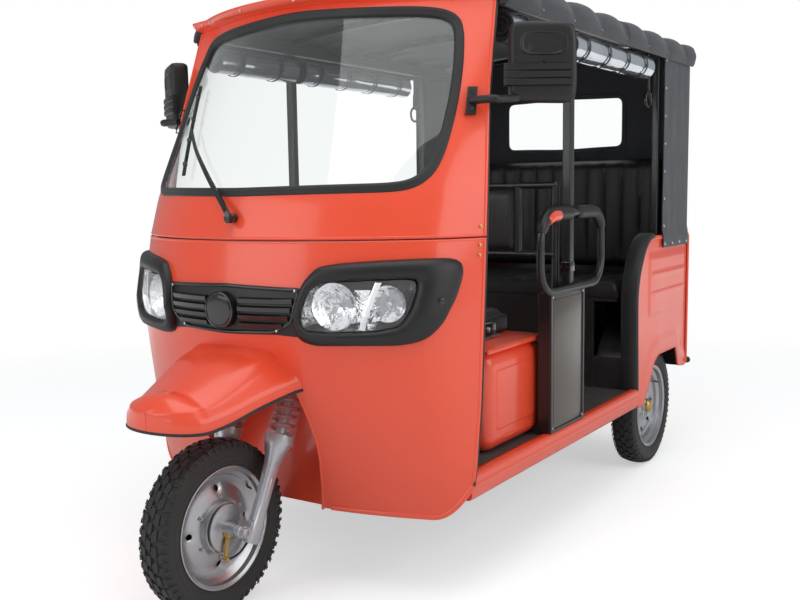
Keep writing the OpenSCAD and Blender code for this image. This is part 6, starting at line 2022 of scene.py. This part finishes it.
# %% Camera
EYE = at(1825.0, -1851.1, 1134.6)
camera_data = bpy.data.cameras.new("Camera")
camera_data.sensor_fit = "HORIZONTAL"
camera_data.sensor_width = 36.0
camera_data.lens = 43.6
camera_data.shift_x = 0.0065
camera_data.shift_y = 0.0104
camera_data.clip_end = 60
camera = bpy.data.objects.new("Camera", camera_data)
bpy.context.scene.collection.objects.link(camera)
turn, dip, tip = math.radians(33.5), math.radians(6.9), math.radians(-0.9)
forward = Vector((-math.sin(turn) * math.cos(dip), math.cos(turn) * math.cos(dip), -math.sin(dip)))
camera.matrix_world = (Matrix.Translation(EYE) @ forward.to_track_quat("-Z", "Y").to_matrix().to_4x4() @ Matrix.Rotation(tip, 4, "Z"))
bpy.context.scene.camera = camera

# %% Floor, world and lamps
floor_mesh = bpy.data.meshes.new("studio_floor")
floor_mesh.from_pydata([(-14, -14, 0), (14, -14, 0), (14, 14, 0), (-14, 14, 0)], [], [(0, 1, 2, 3)])
floor = bpy.data.objects.new("studio_floor", floor_mesh)
bpy.context.scene.collection.objects.link(floor)
pale = bpy.data.materials.new("Studio floor")
pale.use_nodes = True
pale.node_tree.nodes["Principled BSDF"].inputs["Base Color"].default_value = (0.86, 0.86, 0.86, 1)
pale.node_tree.nodes["Principled BSDF"].inputs["Roughness"].default_value = 0.75
pale.node_tree.nodes["Principled BSDF"].inputs["Specular IOR Level"].default_value = 0.2
pale_tree = pale.node_tree
pale_shader = pale_tree.nodes["Principled BSDF"]
place = wire(pale_tree, "ShaderNodeVectorMath", {"operation": "LENGTH"}, i0=coordinates(pale_tree)).outputs["Value"]
camera_ray = wire(pale_tree, "ShaderNodeLightPath").outputs["Is Camera Ray"]
pale_shader.inputs["Emission Color"].default_value = (1, 1, 1, 1)
pale_tree.links.new(math_node(pale_tree, "MULTIPLY", camera_ray, 0.50), pale_shader.inputs["Emission Strength"])
far = wire(pale_tree, "ShaderNodeMapRange", i0=place, i1=2.3, i2=4.6, i3=0.0, i4=1.0)
white = wire(pale_tree, "ShaderNodeEmission", Color=(1, 1, 1, 1), Strength=1.0)
both = wire(pale_tree, "ShaderNodeMixShader", i0=far.outputs[0], i1=pale_shader.outputs[0], i2=white.outputs[0])
pale_tree.links.new(both.outputs[0], pale_tree.nodes["Material Output"].inputs["Surface"])
floor_mesh.materials.append(pale)

world = bpy.data.worlds.new("Studio")
bpy.context.scene.world = world
world.use_nodes = True
sky = world.node_tree
background = sky.nodes["Background"]
path = wire(sky, "ShaderNodeLightPath")
seen = math_node(sky, "MAXIMUM", path.outputs["Is Camera Ray"], path.outputs["Is Transmission Ray"])
tone = wire(sky, "ShaderNodeMix", {"data_type": "RGBA"}, i0=seen, i6=(0.30, 0.315, 0.33, 1), i7=(1.0, 1.0, 1.0, 1))
sky.links.new(tone.outputs[2], background.inputs["Color"])
background.inputs["Strength"].default_value = 1.0


def area(name, place, target, size, power, tall=None):
    light = bpy.data.lights.new(name, "AREA")
    light.shape = "RECTANGLE"
    light.size, light.size_y = size, tall or size
    light.energy = power
    obj = bpy.data.objects.new(name, light)
    bpy.context.scene.collection.objects.link(obj)
    obj.matrix_world = Matrix.Translation(place) @ (target - place).to_track_quat("-Z", "Y").to_matrix().to_4x4()
    obj.visible_camera = False
    return obj


middle = at(0, 900, 900)
area("top_box", at(600, 200, 4600), middle, 4.2, 95, 4.6)
area("front_box", at(-1500, -3600, 2300), middle, 3.4, 52, 3.0)
area("side_box", at(4300, 900, 2500), middle, 3.4, 60, 3.0)
scene = bpy.context.scene
scene.view_settings.view_transform = "Standard"
